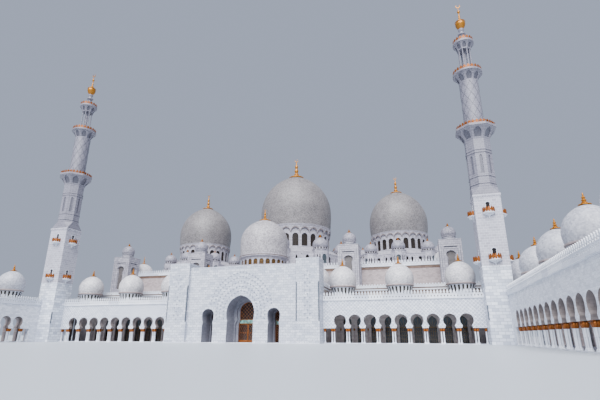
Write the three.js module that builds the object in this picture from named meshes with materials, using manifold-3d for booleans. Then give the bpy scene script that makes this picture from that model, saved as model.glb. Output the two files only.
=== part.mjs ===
// A white marble mosque: a domed prayer hall behind a tall portal, with arcades and two minarets
// round the front of its courtyard. It is a scale model at 1:10, so 100 mm here is one metre of
// the building. The frame is in millimetres with Z up, the courtyard lies towards -Y, and the
// origin is at the middle of the ground plan.
import * as THREE from "three";
import { mergeVertices } from "three/addons/utils/BufferGeometryUtils.js";
import Module from "manifold-3d";

const wasm = await Module();
wasm.setup();

// Driving dimensions of the plan. Y is counted from the line between the two minarets, and heights
// from a level 60 mm above the ground. Bodies that are joined overlap, and a cutting body reaches
// well past the body that it cuts.
const GAP = 0.3;
const OVERLAP = 1;
const PAST = 100;
const BACK_Y = 8600;
const CORNICE = 25;
const GROUND = -60;
const FLOOR_TOP = GROUND + 15;
const WALL_FOOT = FLOOR_TOP + GAP;

// Arcades: the wings beside the portal and the two side ranges of the courtyard.
const PITCH = 427;
const ARCADE_WALL = 145;
const WING_FACE_Y = 124;
const WING_START_X = 2465;
const WING_FIRST_ARCH_X = 2957;
const WING_ARCHES = 9;
const SIDE_FACE_X = 7385;
const SIDE_OUTER_X = 8640 - CORNICE;
const SIDE_FIRST_ARCH_Y = -1112;
const SIDE_ARCHES = 14;
const OUTER_FIRST_ARCH_Y = SIDE_FIRST_ARCH_Y + 5 * PITCH;
const OUTER_ARCHES = SIDE_ARCHES + 5;
const ARCADE_SPRING = 356;
const ARCADE_WALL_TOP = 1120;
const ARCADE_ROOF_TOP = 1214;
const ARCADE_PARAPET_TOP = 1335;
const PARAPET_WALL = 30;
const COLUMN = { half: 19, spacing: 72, depth: 110, capFoot: 262, capHalf: 71 };
const END_COLUMN = 85;
const END_PASSAGE = 255;
const RANGE_END_Y = SIDE_FIRST_ARCH_Y - (SIDE_ARCHES - 0.5) * PITCH - COLUMN.capHalf;
const FRONT_Y = RANGE_END_Y - CORNICE;
const SMALL_DOME = {
  drumFoot: 1200, drumRadius: 325, slitFoot: 1360, drumTop: 1540, flare: 385, ring: 405, ringZ: 1595,
  radius: 420, widestZ: 1770, top: 2235, spike: 24, tip: 2450, drumWall: 45, shell: 80, crown: 100,
};
const SPIKE_SINK = 20;
const WING_DOMES_X = [2960, 4670, 6380];
const SIDE_DOMES_Y = [750, -1110, -2820, -4530, -6240];
const SIDE_DOME_X = 8005;

// Horseshoe arches, each as half widths and heights. The shoulder says how round the head is.
const ARCADE_ARCH = {
  jamb: 140, flareZ: ARCADE_SPRING, neck: 116, neckZ: 425, wide: 176, wideZ: 563, apexZ: 735,
  shoulder: 0.85,
};
const PORTAL_ARCH = {
  jamb: 425, flareZ: 480, neck: 418, neckZ: 585, wide: 450, wideZ: 785, apexZ: 1324,
  shoulder: 0.8,
};
const PORTAL_SIDE_ARCH = {
  jamb: 180, flareZ: 430, neck: 162, neckZ: 525, wide: 195, wideZ: 750, apexZ: 936,
  shoulder: 0.85,
};
const INNER_ARCH = {
  jamb: 385, flareZ: 500, neck: 310, neckZ: 635, wide: 345, wideZ: 775, apexZ: 1200,
  shoulder: 0.8,
};
const DOOR_ARCH = {
  jamb: 310, flareZ: 500, neck: 262, neckZ: 620, wide: 272, wideZ: 880, apexZ: 1160,
  shoulder: 0.8,
};
const SIDE_DOOR_ARCH = {
  jamb: 150, flareZ: 430, neck: 140, neckZ: 525, wide: 160, wideZ: 740, apexZ: 890,
  shoulder: 0.8,
};
const HALL_DOOR_ARCH = {
  jamb: 120, flareZ: 380, neck: 108, neckZ: 440, wide: 130, wideZ: 560, apexZ: 720,
};

// Portal: a deep front wall between two square towers, and the stepped inner wall with the doors.
const PORTAL_FACE_Y = -220;
const PORTAL_BACK_Y = 320;
const PORTAL_TOP = 2210;
const PORTAL_SIDE_ARCH_X = 1060;
const TOWER = { inner: 1760, outer: 2460, frontY: -320, top: 2350, wall: 110, roof: 60 };
const INNER_WALL = { stepY: 400, backY: 520, halfWidth: 1750, top: 1480 };
const SCREEN = { frontY: 430, backY: 450, foot: 500, inset: 1 };
const DOOR = {
  pivotX: 296, y: 440, thickness: 12, meeting: 4, heel: 6, foot: FLOOR_TOP + 8, top: 488, pin: 5,
};

// Prayer hall: the lower block, the clerestory above it and the vestibule behind the portal.
const HALL = {
  halfWidth: 7500, frontY: 1400, wall: 100, wallTop: 1500, roofTop: 1550, parapet: 1665,
};
const HALL_WINDOW = { half: 120, foot: 250, springZ: 640, apexZ: 820, pitch: 2 * PITCH };
const HALL_SIDE_WINDOWS = 8;
const HALL_BACK_WINDOWS = 16;
const PORCH_HALF_WIDTH = 2430;
const UPPER = { halfWidth: 6660, frontY: 2800, wallTop: 2480, roofTop: 2600, parapet: 2680 };
const PORCH_DOME = { x: 2000, y: 1400, lift: 120 };
const CORNER_DOME = {
  x: 6200, y: 3400, seat: 380, ringZ: 2640, radius: 400, widestZ: 2740, top: 3100, spike: 24, tip: 3420,
  bore: 300, crown: 80,
};
const VESTIBULE = {
  y: 1650, half: 1000, top: 2390, drum: 800, drumWall: 60, windows: 8, windowHalf: 60,
  windowFoot: 2420, windowTop: 2630, ringFoot: 2700, ringTop: 2810, ring: 845, seat: 825,
  radius: 842, widestZ: 3300, domeTop: 4125, cap: 190, tip: 4575, segments: 16, shell: 50,
};
const TURRET = {
  places: [[2940, 2444], [6310, 2444]], half: 355, wall: 70, roof: 60, top: 3190,
  neck: 220, neckTop: 3340, radius: 250, widestZ: 3430, domeTop: 3700, spike: 14, tip: 3810,
};

// The three great domes on their octagonal podiums, with a cupola at each corner.
const GREAT_Y = 5700;
const MAIN_DOME = {
  x: 0, podium: 2150, podiumWall: 3390, podiumTop: 3660, cupolaReach: 2060, cupolaSize: 1.2,
  drum: 1500, windows: 12, windowHalf: 110, windowFoot: 3720, windowTop: 4275,
  hoodFoot: 4310, ringFoot: 4590, ringTop: 4680, ring: 1590,
  radius: 1602, widestZ: 5450, top: 7250, cap: 345, tip: 8260, segments: 24, shell: 60,
};
const FLANK_DOME = {
  x: 4560, podium: 1610, podiumWall: 3185, podiumTop: 3400, cupolaReach: 1560, cupolaSize: 1,
  drum: 1130, windows: 12, windowHalf: 85, windowFoot: 3435, windowTop: 3875,
  hoodFoot: 3905, ringFoot: 4110, ringTop: 4170, ring: 1195,
  radius: 1210, widestZ: 4680, top: 6090, cap: 245, tip: 6870, segments: 16, shell: 50,
};
const PODIUM = { wall: 100, roof: 40, drumWall: 70, skirt: 1.09, bearing: 30 };
const CUPOLA = {
  foot: -60, base: 255, baseTop: 120, neck: 225, neckTop: 170, radius: 265, widestZ: 290,
  top: 495, spike: 14, tip: 590,
};
const CROWN_RISE = 4;
const POINT_RISE = 1.2;

// A finial's outline, as shares of its base's radius and of its rise above the crown.
const FINIAL = [
  [0.35, 0.05], [0.1, 0.2], [0.22, 0.32], [0.08, 0.42], [0.15, 0.55], [0.04, 0.65], [0.03, 1],
];

// Minarets: a square shaft with balconies, an octagonal stage, a round stage and a lantern.
const MINARET = {
  x: 7207, half: 346, wall: 100, bore: 170,
  shaftTop: 3864, cornice: 360, corniceDepth: 70,
  pyramidTop: 4140, pyramidHalf: 250, octagon: 362, mould: 16, mouldHalf: 30, mouldZ: [4410, 5180],
  corbelFoot: 5560, firstFloor: 5960, firstRim: 590,
  shaft: 275, secondCorbel: 7560, secondFloor: 7900, secondRim: 435, doorHalf: 40, doorTop: 220,
  lanternFoot: 8010, lantern: 198, columns: 8, column: 24, lanternTop: 8780,
  thirdRim: 318, thirdRimFoot: 8960, thirdTop: 9050, neck: 60, neckTop: 9600,
  slab: 60, rail: 95, railWall: 20, ballZ: 9817, tip: 10600,
};
// The neck's outline above the third gallery, and the finial's outline about its ball's middle.
const NECK = [[160, 0], [110, 150], [150, 220], [70, 300]];
const MINARET_FINIAL = [[100, -110], [155, 0], [110, 110], [30, 200], [18, 420], [38, 470], [12, 520]];
const BALCONY = {
  floors: [2085, 3360], radius: 165, foot: 30, slab: 25, corbel: 110, rail: 95, railWall: 15,
  doorHalf: 45, doorTop: 235,
};

const FINISH = {
  marble: { color: 0xd9dee8, roughness: 0.55, metalness: 0 },
  dome: { color: 0xcfd0da, roughness: 0.6, metalness: 0 },
  gold: { color: 0xd98a1e, roughness: 0.3, metalness: 0.9 },
  glass: { color: 0x2c3a44, roughness: 0.15, metalness: 0 },
  floor: { color: 0xe4e6ea, roughness: 0.4, metalness: 0 },
};

// Turns a three.js geometry into a solid, with its faces pointing out.
function solid(geometry) {
  geometry.deleteAttribute("normal");
  geometry.deleteAttribute("uv");
  const merged = mergeVertices(geometry, 1e-3);
  const vertices = merged.attributes.position.array;
  const index = merged.index.array;
  const corner = (i) => new THREE.Vector3().fromArray(vertices, 3 * i);
  const faces = [];
  let volume = 0;
  for (let i = 0; i < index.length; i += 3) {
    const [a, b, c] = [index[i], index[i + 1], index[i + 2]];
    if (a !== b && b !== c && c !== a) {
      faces.push([a, b, c]);
      volume += corner(a).dot(corner(b).cross(corner(c)));
    }
  }
  const triVerts = new Uint32Array(faces.flatMap(([a, b, c]) => (volume > 0 ? [a, b, c] : [a, c, b])));
  const vertProperties = new Float32Array(vertices);
  return new wasm.Manifold(new wasm.Mesh({ numProp: 3, vertProperties, triVerts }));
}

function geometryOf(body) {
  const mesh = body.getMesh();
  const geometry = new THREE.BufferGeometry();
  geometry.setAttribute("position", new THREE.BufferAttribute(mesh.vertProperties, 3));
  geometry.setIndex(new THREE.BufferAttribute(mesh.triVerts, 1));
  return geometry;
}

function join(bodies) {
  return bodies.reduce((whole, body) => whole.add(body));
}

function cut(body, tools) {
  return tools.reduce((whole, tool) => whole.subtract(tool), body);
}

function box(x0, x1, y0, y1, z0, z1) {
  const geometry = new THREE.BoxGeometry(x1 - x0, y1 - y0, z1 - z0);
  geometry.translate((x0 + x1) / 2, (y0 + y1) / 2, (z0 + z1) / 2);
  return solid(geometry);
}

// A solid turned about a vertical axis from a list of [radius, height] points.
function turned(profile, segments, x = 0, y = 0, angle = 0) {
  const points = profile.map(([r, z]) => new THREE.Vector2(r, z));
  const geometry = new THREE.LatheGeometry(points, segments);
  geometry.rotateX(Math.PI / 2);
  geometry.rotateZ(angle);
  geometry.translate(x, y, 0);
  return solid(geometry);
}

function post(radius, sides, z0, z1, x, y, angle = 0) {
  return turned([[0, z0], [radius, z0], [radius, z1], [0, z1]], sides, x, y, angle);
}

// Adds the opening of a horseshoe arch to an outline that runs along the foot of a wall.
function archTo(shape, centre, arch) {
  const { jamb, flareZ, neck, neckZ, wide, wideZ, apexZ, shoulder = 0.62 } = arch;
  const shoulderZ = wideZ + shoulder * (apexZ - wideZ);
  shape.lineTo(centre - jamb, flareZ);
  shape.lineTo(centre - neck, neckZ);
  shape.lineTo(centre - wide, wideZ);
  shape.quadraticCurveTo(centre - wide, shoulderZ, centre, apexZ);
  shape.quadraticCurveTo(centre + wide, shoulderZ, centre + wide, wideZ);
  shape.lineTo(centre + neck, neckZ);
  shape.lineTo(centre + jamb, flareZ);
}

// Pushes an outline in X and Z back along Y, from its face at y0 to y1.
function pushedBack(shape, y0, y1, curveSegments) {
  const settings = { depth: y1 - y0, bevelEnabled: false, curveSegments };
  const geometry = new THREE.ExtrudeGeometry(shape, settings);
  geometry.rotateX(Math.PI / 2);
  geometry.translate(0, y1, 0);
  return geometry;
}

// A wall along X with its face at y0, whose foot is broken by arches.
function archedWall(x0, x1, y0, y1, foot, top, openings, steps = 3) {
  const shape = new THREE.Shape();
  shape.moveTo(x0, foot);
  for (const { centre, arch } of openings) {
    if (arch.flareZ > foot) shape.lineTo(centre - arch.jamb, foot);
    archTo(shape, centre, arch);
    if (arch.flareZ > foot) shape.lineTo(centre + arch.jamb, foot);
  }
  shape.lineTo(x1, foot);
  shape.lineTo(x1, top);
  shape.lineTo(x0, top);
  return solid(pushedBack(shape, y0, y1, steps));
}

// A wall along X with its face at y0 and a row of round-headed windows through it.
function windowedWall(x0, x1, y0, y1, foot, top, count) {
  const { half, foot: sill, springZ, apexZ, pitch } = HALL_WINDOW;
  const windows = [];
  for (let i = 0; i < count; i++) {
    const centre = (x0 + x1) / 2 + (i - (count - 1) / 2) * pitch;
    const shape = new THREE.Shape();
    shape.moveTo(centre - half, sill);
    shape.lineTo(centre - half, springZ);
    shape.quadraticCurveTo(centre - half, apexZ, centre, apexZ);
    shape.quadraticCurveTo(centre + half, apexZ, centre + half, springZ);
    shape.lineTo(centre + half, sill);
    windows.push(solid(pushedBack(shape, y0 - PAST, y1 + PAST, 2)));
  }
  return cut(box(x0, x1, y0, y1, foot, top), windows);
}

// The closed outline of an arch from its jambs' feet up, as a plate that fits inside the opening.
function archPlate(arch, foot, y0, y1, inset, centre = 0) {
  const shape = new THREE.Shape();
  shape.moveTo(centre - arch.jamb, foot);
  archTo(shape, centre, arch);
  shape.lineTo(centre + arch.jamb, foot);
  const geometry = pushedBack(shape, y0, y1, 3);
  geometry.translate(-centre, 0, -foot);
  geometry.scale(1 - inset / arch.jamb, 1, 1 - inset / (arch.apexZ - foot));
  geometry.translate(centre, 0, foot);
  return solid(geometry);
}

// Points of a dome's outline from its ring up to its crown.
function domeCurve({ ring, ringTop, radius, widestZ, top }, lower, upper, inset = 0) {
  const crown = top - inset;
  const rise = crown - widestZ;
  const swell = new THREE.QuadraticBezierCurve(
    new THREE.Vector2(ring - inset, ringTop),
    new THREE.Vector2(radius - inset, (ringTop + widestZ) / 2),
    new THREE.Vector2(radius - inset, widestZ));
  const crest = new THREE.CubicBezierCurve(
    new THREE.Vector2(radius - inset, widestZ),
    new THREE.Vector2(radius - inset, widestZ + 0.56 * rise),
    new THREE.Vector2(0.5 * (radius - inset), widestZ + 0.92 * rise),
    new THREE.Vector2(0, crown));
  const points = [...swell.getPoints(lower), ...crest.getPoints(upper).slice(1)];
  return points.map((p) => [p.x, p.y]);
}

// The points of a small spike on a crown.
function spike({ spike: radius, tip }, top) {
  return [[radius, top - SPIKE_SINK], [0, tip]];
}

// One pier of the courtyard fronts, with its centre at x, y: pairs of columns under their capitals.
function pier(x, y) {
  const { half, spacing, depth, capFoot, capHalf } = COLUMN;
  const capDepth = ARCADE_WALL / 2;
  const capTop = ARCADE_SPRING + OVERLAP;
  const capitals = box(x - capHalf, x + capHalf, y - capDepth, y + capDepth, capFoot, capTop);
  const columns = [x - spacing / 2, x + spacing / 2].map((centre) => box(
    centre - half, centre + half, y - depth / 2, y + depth / 2, WALL_FOOT, capFoot + OVERLAP));
  return [capitals, ...columns];
}

// A courtyard front along X: arches on columns, with a solid stretch at either end.
function arcadeFront(from, to, face, first, count, solidEnds) {
  const back = face + ARCADE_WALL;
  const openings = [];
  const parts = [];
  for (let i = 0; i < count; i++) openings.push({ centre: first + i * PITCH, arch: ARCADE_ARCH });
  for (let i = 0; i <= count; i++) {
    parts.push(...pier(first + (i - 0.5) * PITCH, (face + back) / 2));
  }
  const wall = archedWall(from, to, face, back, ARCADE_SPRING, ARCADE_WALL_TOP - GAP, openings, 2);
  for (const [x0, x1] of solidEnds) {
    parts.push(box(x0, x1, face, back, WALL_FOOT, ARCADE_SPRING + OVERLAP));
  }
  return join([wall, ...parts]);
}

// An outer wall along X, with the same arches over plain piers.
function outerArcade(from, to, face, first, count) {
  const openings = [];
  for (let i = 0; i < count; i++) openings.push({ centre: first + i * PITCH, arch: ARCADE_ARCH });
  return archedWall(from, to, face, face + ARCADE_WALL, WALL_FOOT, ARCADE_WALL_TOP - GAP, openings, 1);
}

function standingAlongY(body, x) {
  return body.rotate([0, 0, -90]).translate([x, 0, 0]);
}

// A small dome on its drum, which is one piece with the roof. A drum whose foot is above its slits'
// foot widens from there.
function smallDome(x, y, foot = SMALL_DOME.drumFoot) {
  const d = SMALL_DOME;
  const straight = foot < d.slitFoot ? [[d.drumRadius, d.slitFoot]] : [];
  const sizes = { ring: d.ring, ringTop: d.ringZ, radius: d.radius, widestZ: d.widestZ, top: d.top };
  const curve = domeCurve(sizes, 1, 3);
  return turned([
    [0, foot], [d.drumRadius, foot], ...straight, [d.flare, d.drumTop],
    ...curve.slice(0, -1), ...spike(d, d.top),
  ], 12, x, y);
}

function smallDomeHollow(x, y) {
  const d = SMALL_DOME;
  const reach = d.drumRadius - d.drumWall;
  return turned([
    [0, d.drumFoot - 2 * PAST], [reach, d.drumFoot - 2 * PAST], [reach, d.drumTop],
    [d.radius - d.shell, d.widestZ], [0, d.top - d.crown],
  ], 8, x, y, Math.PI / 8);
}

const group = new THREE.Group();
group.position.set(0, -(FRONT_Y + BACK_Y) / 2, -GROUND);

function add(name, body, finish) {
  const mesh = new THREE.Mesh(geometryOf(body), new THREE.MeshStandardMaterial(FINISH[finish]));
  mesh.name = name;
  group.add(mesh);
}

// Adds a piece of the right half and its mirror image in the left half.
function addPair(name, body, finish) {
  add(`right_${name}`, body, finish);
  const geometry = geometryOf(body);
  geometry.scale(-1, 1, 1);
  const index = geometry.index.array;
  for (let i = 0; i < index.length; i += 3) [index[i], index[i + 1]] = [index[i + 1], index[i]];
  const mesh = new THREE.Mesh(geometry, new THREE.MeshStandardMaterial(FINISH[finish]));
  mesh.name = `left_${name}`;
  group.add(mesh);
}

function minaretBox(margin, z0, z1) {
  const { x, half } = MINARET;
  const reach = half + margin;
  return box(x - reach, x + reach, -reach, reach, z0, z1);
}

function buildArcades() {
  const endY = RANGE_END_Y;
  const hallSide = HALL.frontY - GAP;
  const floor = join([
    box(WING_START_X, SIDE_OUTER_X, WING_FACE_Y, hallSide, GROUND, FLOOR_TOP),
    box(SIDE_FACE_X, SIDE_OUTER_X, endY, hallSide, GROUND, FLOOR_TOP),
  ]);
  addPair("arcade_floor", cut(floor, [minaretBox(GAP, GROUND - PAST, GROUND + PAST)]), "floor");

  const towerX = MINARET.x - MINARET.half - GAP;
  const wing = arcadeFront(WING_START_X, towerX, WING_FACE_Y, WING_FIRST_ARCH_X, WING_ARCHES, [
    [WING_START_X, WING_START_X + END_COLUMN], [towerX - END_COLUMN, towerX],
  ]);
  addPair("wing_arcade", wing, "marble");

  const towerY = MINARET.half + GAP;
  const firstPier = -SIDE_FIRST_ARCH_Y - PITCH / 2;
  const inner = arcadeFront(towerY, -endY, 0, -SIDE_FIRST_ARCH_Y, SIDE_ARCHES, [
    [towerY, firstPier - END_PASSAGE],
  ]);
  addPair("side_arcade_inner", standingAlongY(inner, SIDE_FACE_X), "marble");

  const backFace = HALL.frontY - CORNICE;
  const outer = outerArcade(-backFace, -endY, 0, -OUTER_FIRST_ARCH_Y, OUTER_ARCHES);
  const endX = SIDE_FACE_X + ARCADE_WALL + GAP;
  const endWall = outerArcade(endX, SIDE_OUTER_X, endY, SIDE_DOME_X - PITCH / 2, 2);
  const hallX = HALL.halfWidth + GAP;
  const cornerX = SIDE_DOME_X - PITCH / 2;
  const cornerWall = outerArcade(hallX, SIDE_OUTER_X, backFace - ARCADE_WALL, cornerX, 2);
  const outerBody = standingAlongY(outer, SIDE_OUTER_X - ARCADE_WALL);
  addPair("side_arcade_outer", join([outerBody, endWall, cornerWall]), "marble");
}

function buildArcadeRoofs() {
  const [z0, z1, z2] = [ARCADE_WALL_TOP, ARCADE_ROOF_TOP, ARCADE_PARAPET_TOP];
  const wingEdge = WING_FACE_Y - CORNICE;
  const sideEdge = SIDE_FACE_X - CORNICE;
  const outerEdge = SIDE_OUTER_X + CORNICE;
  const hallEdge = HALL.frontY - GAP;
  const slabs = [
    box(WING_START_X, outerEdge, wingEdge, hallEdge, z0, z1),
    box(sideEdge, outerEdge, FRONT_Y, hallEdge, z0, z1),
    box(WING_START_X, sideEdge, wingEdge, wingEdge + PARAPET_WALL, z1 - OVERLAP, z2),
    box(sideEdge, sideEdge + PARAPET_WALL, FRONT_Y, wingEdge, z1 - OVERLAP, z2),
    box(outerEdge - PARAPET_WALL, outerEdge, FRONT_Y, hallEdge, z1 - OVERLAP, z2),
    box(sideEdge, outerEdge, FRONT_Y, FRONT_Y + PARAPET_WALL, z1 - OVERLAP, z2),
    box(HALL.halfWidth, outerEdge, hallEdge - PARAPET_WALL, hallEdge, z1 - OVERLAP, z2),
  ];
  const places = [
    ...WING_DOMES_X.map((x) => [x, (WING_FACE_Y + HALL.frontY) / 2]),
    ...SIDE_DOMES_Y.map((y) => [SIDE_DOME_X, y]),
  ];
  const domes = places.map(([x, y]) => smallDome(x, y));
  const hollows = places.map(([x, y]) => smallDomeHollow(x, y));
  const shaft = minaretBox(GAP, z0 - PAST, z2 + PAST);
  const roof = cut(join([...slabs, ...domes]), [...hollows, shaft]);
  addPair("arcade_roof", roof, "marble");
}

function buildPortal() {
  const openings = [
    { centre: -PORTAL_SIDE_ARCH_X, arch: PORTAL_SIDE_ARCH },
    { centre: 0, arch: PORTAL_ARCH },
    { centre: PORTAL_SIDE_ARCH_X, arch: PORTAL_SIDE_ARCH },
  ];
  const edge = TOWER.inner - GAP;
  const front = archedWall(-edge, edge, PORTAL_FACE_Y, PORTAL_BACK_Y, WALL_FOOT, PORTAL_TOP, openings);
  add("portal_front_wall", front, "marble");

  const { inner, outer, frontY, top, wall, roof } = TOWER;
  const shell = box(inner, outer, frontY, PORTAL_BACK_Y, WALL_FOOT, top);
  const room = box(
    inner + wall, outer - wall, frontY + wall, PORTAL_BACK_Y - wall, GROUND - PAST, top - roof);
  addPair("portal_tower", cut(shell, [room]), "marble");

  const { stepY, backY, halfWidth, top: innerTop } = INNER_WALL;
  const start = PORTAL_BACK_Y + GAP;
  const step = (arch, y0, y1) => archedWall(-halfWidth, halfWidth, y0, y1, WALL_FOOT, innerTop, [
    { centre: -PORTAL_SIDE_ARCH_X, arch: SIDE_DOOR_ARCH },
    { centre: 0, arch },
    { centre: PORTAL_SIDE_ARCH_X, arch: SIDE_DOOR_ARCH },
  ]);
  const innerWall = join([
    step(INNER_ARCH, start, stepY + OVERLAP),
    step(DOOR_ARCH, stepY, backY),
  ]);
  add("portal_inner_wall", innerWall, "marble");

  const { frontY: y0, backY: y1, foot: screenFoot, inset } = SCREEN;
  add("door_arch_screen", archPlate(DOOR_ARCH, screenFoot, y0, y1, inset), "glass");
  const side = archPlate(SIDE_DOOR_ARCH, WALL_FOOT, y0, y1, inset, PORTAL_SIDE_ARCH_X);
  addPair("side_door_screen", side, "glass");

  const { pivotX, y, thickness, meeting, heel, foot, top: doorTop, pin } = DOOR;
  const leaf = box(meeting / 2, pivotX + heel, y - thickness / 2, y + thickness / 2, foot, doorTop);
  const pivot = post(pin, 8, FLOOR_TOP + GAP, SCREEN.foot - GAP, pivotX, y, Math.PI / 8);
  addPair("door_leaf", join([leaf, pivot]), "glass");
}

function buildHallWalls() {
  const { halfWidth, frontY, wall, wallTop, roofTop } = HALL;
  const back = BACK_Y - CORNICE;
  const porch = PORCH_HALF_WIDTH;
  const floor = join([
    box(-halfWidth, halfWidth, frontY, back, GROUND, FLOOR_TOP),
    box(-porch, porch, PORTAL_BACK_Y, frontY, GROUND, FLOOR_TOP),
    box(-TOWER.outer, TOWER.outer, TOWER.frontY, PORTAL_BACK_Y, GROUND, FLOOR_TOP),
  ]);
  add("hall_floor", floor, "floor");

  const top = wallTop - GAP;
  const doors = [];
  for (let i = 0; i < WING_ARCHES; i++) {
    doors.push({ centre: WING_FIRST_ARCH_X + i * PITCH, arch: HALL_DOOR_ARCH });
  }
  const front = join([
    archedWall(porch - wall, halfWidth, frontY, frontY + wall, WALL_FOOT, top, doors, 2),
    box(porch - wall, porch, PORTAL_BACK_Y + GAP, frontY + wall, WALL_FOOT, top),
  ]);
  addPair("hall_front_wall", front, "marble");

  const sideFront = frontY + wall + GAP;
  const side = windowedWall(-back, -sideFront, 0, wall, WALL_FOOT, top, HALL_SIDE_WINDOWS);
  addPair("hall_side_wall", standingAlongY(side, halfWidth - wall), "marble");
  const rearHalf = halfWidth - wall - GAP;
  const rear = windowedWall(-rearHalf, rearHalf, back - wall, back, WALL_FOOT, top, HALL_BACK_WINDOWS);
  add("hall_back_wall", rear, "marble");

  const upperX = UPPER.halfWidth;
  const outside = box(-upperX, upperX, UPPER.frontY, back, roofTop + GAP, UPPER.wallTop - GAP);
  add("clerestory_walls", cut(outside, [upperRoom(roofTop - PAST, UPPER.wallTop + PAST)]), "marble");
}

// The space inside the clerestory between two heights.
function upperRoom(z0, z1) {
  const reach = UPPER.halfWidth - HALL.wall;
  return box(-reach, reach, UPPER.frontY + HALL.wall, BACK_Y - CORNICE - HALL.wall, z0, z1);
}

// A parapet round a roof from -x to x and from y0 to the back.
function parapetRing(x, y0, z0, z1) {
  const inside = box(-x + PARAPET_WALL, x - PARAPET_WALL, y0 + PARAPET_WALL, BACK_Y - PARAPET_WALL,
    z0 - PAST, z1 + PAST);
  return cut(box(-x, x, y0, BACK_Y, z0 - OVERLAP, z1), [inside]);
}

// A dome on a corner of the upper roof, which is one piece with the roof.
function cornerDome(x) {
  const { y, seat, ringZ, radius, widestZ, top } = CORNER_DOME;
  const curve = domeCurve({ ring: seat, ringTop: ringZ, radius, widestZ, top }, 1, 3);
  const foot = UPPER.roofTop - OVERLAP;
  return turned([[0, foot], [seat, foot], ...curve.slice(0, -1), ...spike(CORNER_DOME, top)], 12, x, y);
}

function cornerDomeHollow(x) {
  const { y, bore, widestZ, top, crown } = CORNER_DOME;
  const foot = UPPER.wallTop - PAST;
  return turned([[0, foot], [bore, foot], [bore, widestZ], [0, top - crown]], 8, x, y, Math.PI / 8);
}

function buildHallRoofs() {
  const { halfWidth, frontY, wall, wallTop, roofTop, parapet } = HALL;
  const porch = PORCH_HALF_WIDTH;
  const eave = halfWidth + CORNICE;
  const frontEave = frontY - CORNICE;
  const upperEave = UPPER.halfWidth + CORNICE;
  const { y, half } = VESTIBULE;
  const parapets = cut(parapetRing(eave, frontEave, roofTop, parapet), [
    box(-upperEave - GAP, upperEave + GAP, BACK_Y - PAST, BACK_Y + PAST, roofTop - PAST, parapet + PAST),
    box(-porch, porch, frontEave - PAST, frontEave + PAST, roofTop - PAST, parapet + PAST),
  ]);
  const porchEdges = [-porch, porch - PARAPET_WALL].map((x) => box(
    x, x + PARAPET_WALL, PORTAL_BACK_Y + GAP, frontEave + PARAPET_WALL, roofTop - OVERLAP, parapet));
  const lifted = (body) => body.translate([0, 0, PORCH_DOME.lift]);
  const porchDrumFoot = roofTop - OVERLAP - PORCH_DOME.lift;
  const domesX = [-PORCH_DOME.x, PORCH_DOME.x];
  const lowerRoof = cut(join([
    box(-eave, eave, frontEave, BACK_Y, wallTop, roofTop),
    box(-porch, porch, PORTAL_BACK_Y + GAP, frontEave, wallTop, roofTop),
    parapets,
    ...porchEdges,
    ...domesX.map((x) => lifted(smallDome(x, PORCH_DOME.y, porchDrumFoot))),
  ]), [
    upperRoom(wallTop - PAST, roofTop + PAST),
    box(-half + wall, half - wall, y - half + wall, y + half - wall, wallTop - PAST, roofTop + PAST),
    ...domesX.map((x) => lifted(smallDomeHollow(x, PORCH_DOME.y))),
  ]);
  add("lower_roof", lowerRoof, "marble");

  const reach = TURRET.half + GAP;
  const turrets = TURRET.places.flatMap(([x, turretY]) => [-x, x].map((centre) => box(
    centre - reach, centre + reach, turretY - reach, turretY + reach,
    UPPER.wallTop - PAST, UPPER.parapet + PAST)));
  const opening = ({ podium }, x) => post(
    podium - PODIUM.wall - PODIUM.bearing, 8, UPPER.wallTop - PAST, UPPER.roofTop + PAST, x, GREAT_Y);
  const corners = [-CORNER_DOME.x, CORNER_DOME.x];
  const upperRoof = cut(join([
    box(-upperEave, upperEave, UPPER.frontY - CORNICE, BACK_Y, UPPER.wallTop, UPPER.roofTop),
    parapetRing(upperEave, UPPER.frontY - CORNICE, UPPER.roofTop, UPPER.parapet),
    ...corners.map((x) => cornerDome(x)),
  ]), [
    ...turrets,
    ...corners.map((x) => cornerDomeHollow(x)),
    opening(MAIN_DOME, MAIN_DOME.x),
    opening(FLANK_DOME, FLANK_DOME.x),
    opening(FLANK_DOME, -FLANK_DOME.x),
  ]);
  add("upper_roof", upperRoof, "marble");
}

function buildTurrets() {
  const { places, half, wall, roof, top, neck, neckTop, radius, widestZ, domeTop } = TURRET;
  const names = ["inner_turret", "outer_turret"];
  places.forEach(([x, y], i) => {
    const foot = HALL.roofTop + GAP;
    const inner = half - wall;
    const shaft = box(x - half, x + half, y - half, y + half, foot, top);
    const room = box(x - inner, x + inner, y - inner, y + inner, foot - PAST, top - roof);
    const curve = domeCurve({ ring: neck, ringTop: neckTop, radius, widestZ, top: domeTop }, 1, 3);
    const crown = turned([
      [0, top - OVERLAP], [neck, top - OVERLAP], ...curve.slice(0, -1), ...spike(TURRET, domeTop),
    ], 12, x, y);
    addPair(names[i], join([cut(shaft, [room]), crown]), "marble");
  });
}

// Window openings through a round drum, as pointed slots set evenly round it.
function drumWindows(x, y, { windows, windowHalf, windowFoot, windowTop, ring }) {
  const springZ = windowTop - POINT_RISE * windowHalf;
  const shape = new THREE.Shape();
  shape.moveTo(-windowHalf, windowFoot);
  shape.lineTo(windowHalf, windowFoot);
  shape.lineTo(windowHalf, springZ);
  shape.lineTo(0, windowTop);
  shape.lineTo(-windowHalf, springZ);
  const cuts = [];
  for (let i = 0; i < windows; i++) {
    const geometry = pushedBack(shape, -(ring + PAST), 0, 1);
    geometry.rotateZ(Math.PI / windows + (i * 2 * Math.PI) / windows);
    geometry.translate(x, y, 0);
    cuts.push(solid(geometry));
  }
  return cuts;
}

function finialPoints(base, top, tip) {
  const points = FINIAL.map(([r, h]) => [r * base, top + h * (tip - top)]);
  return [...points, [0, tip]];
}

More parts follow.
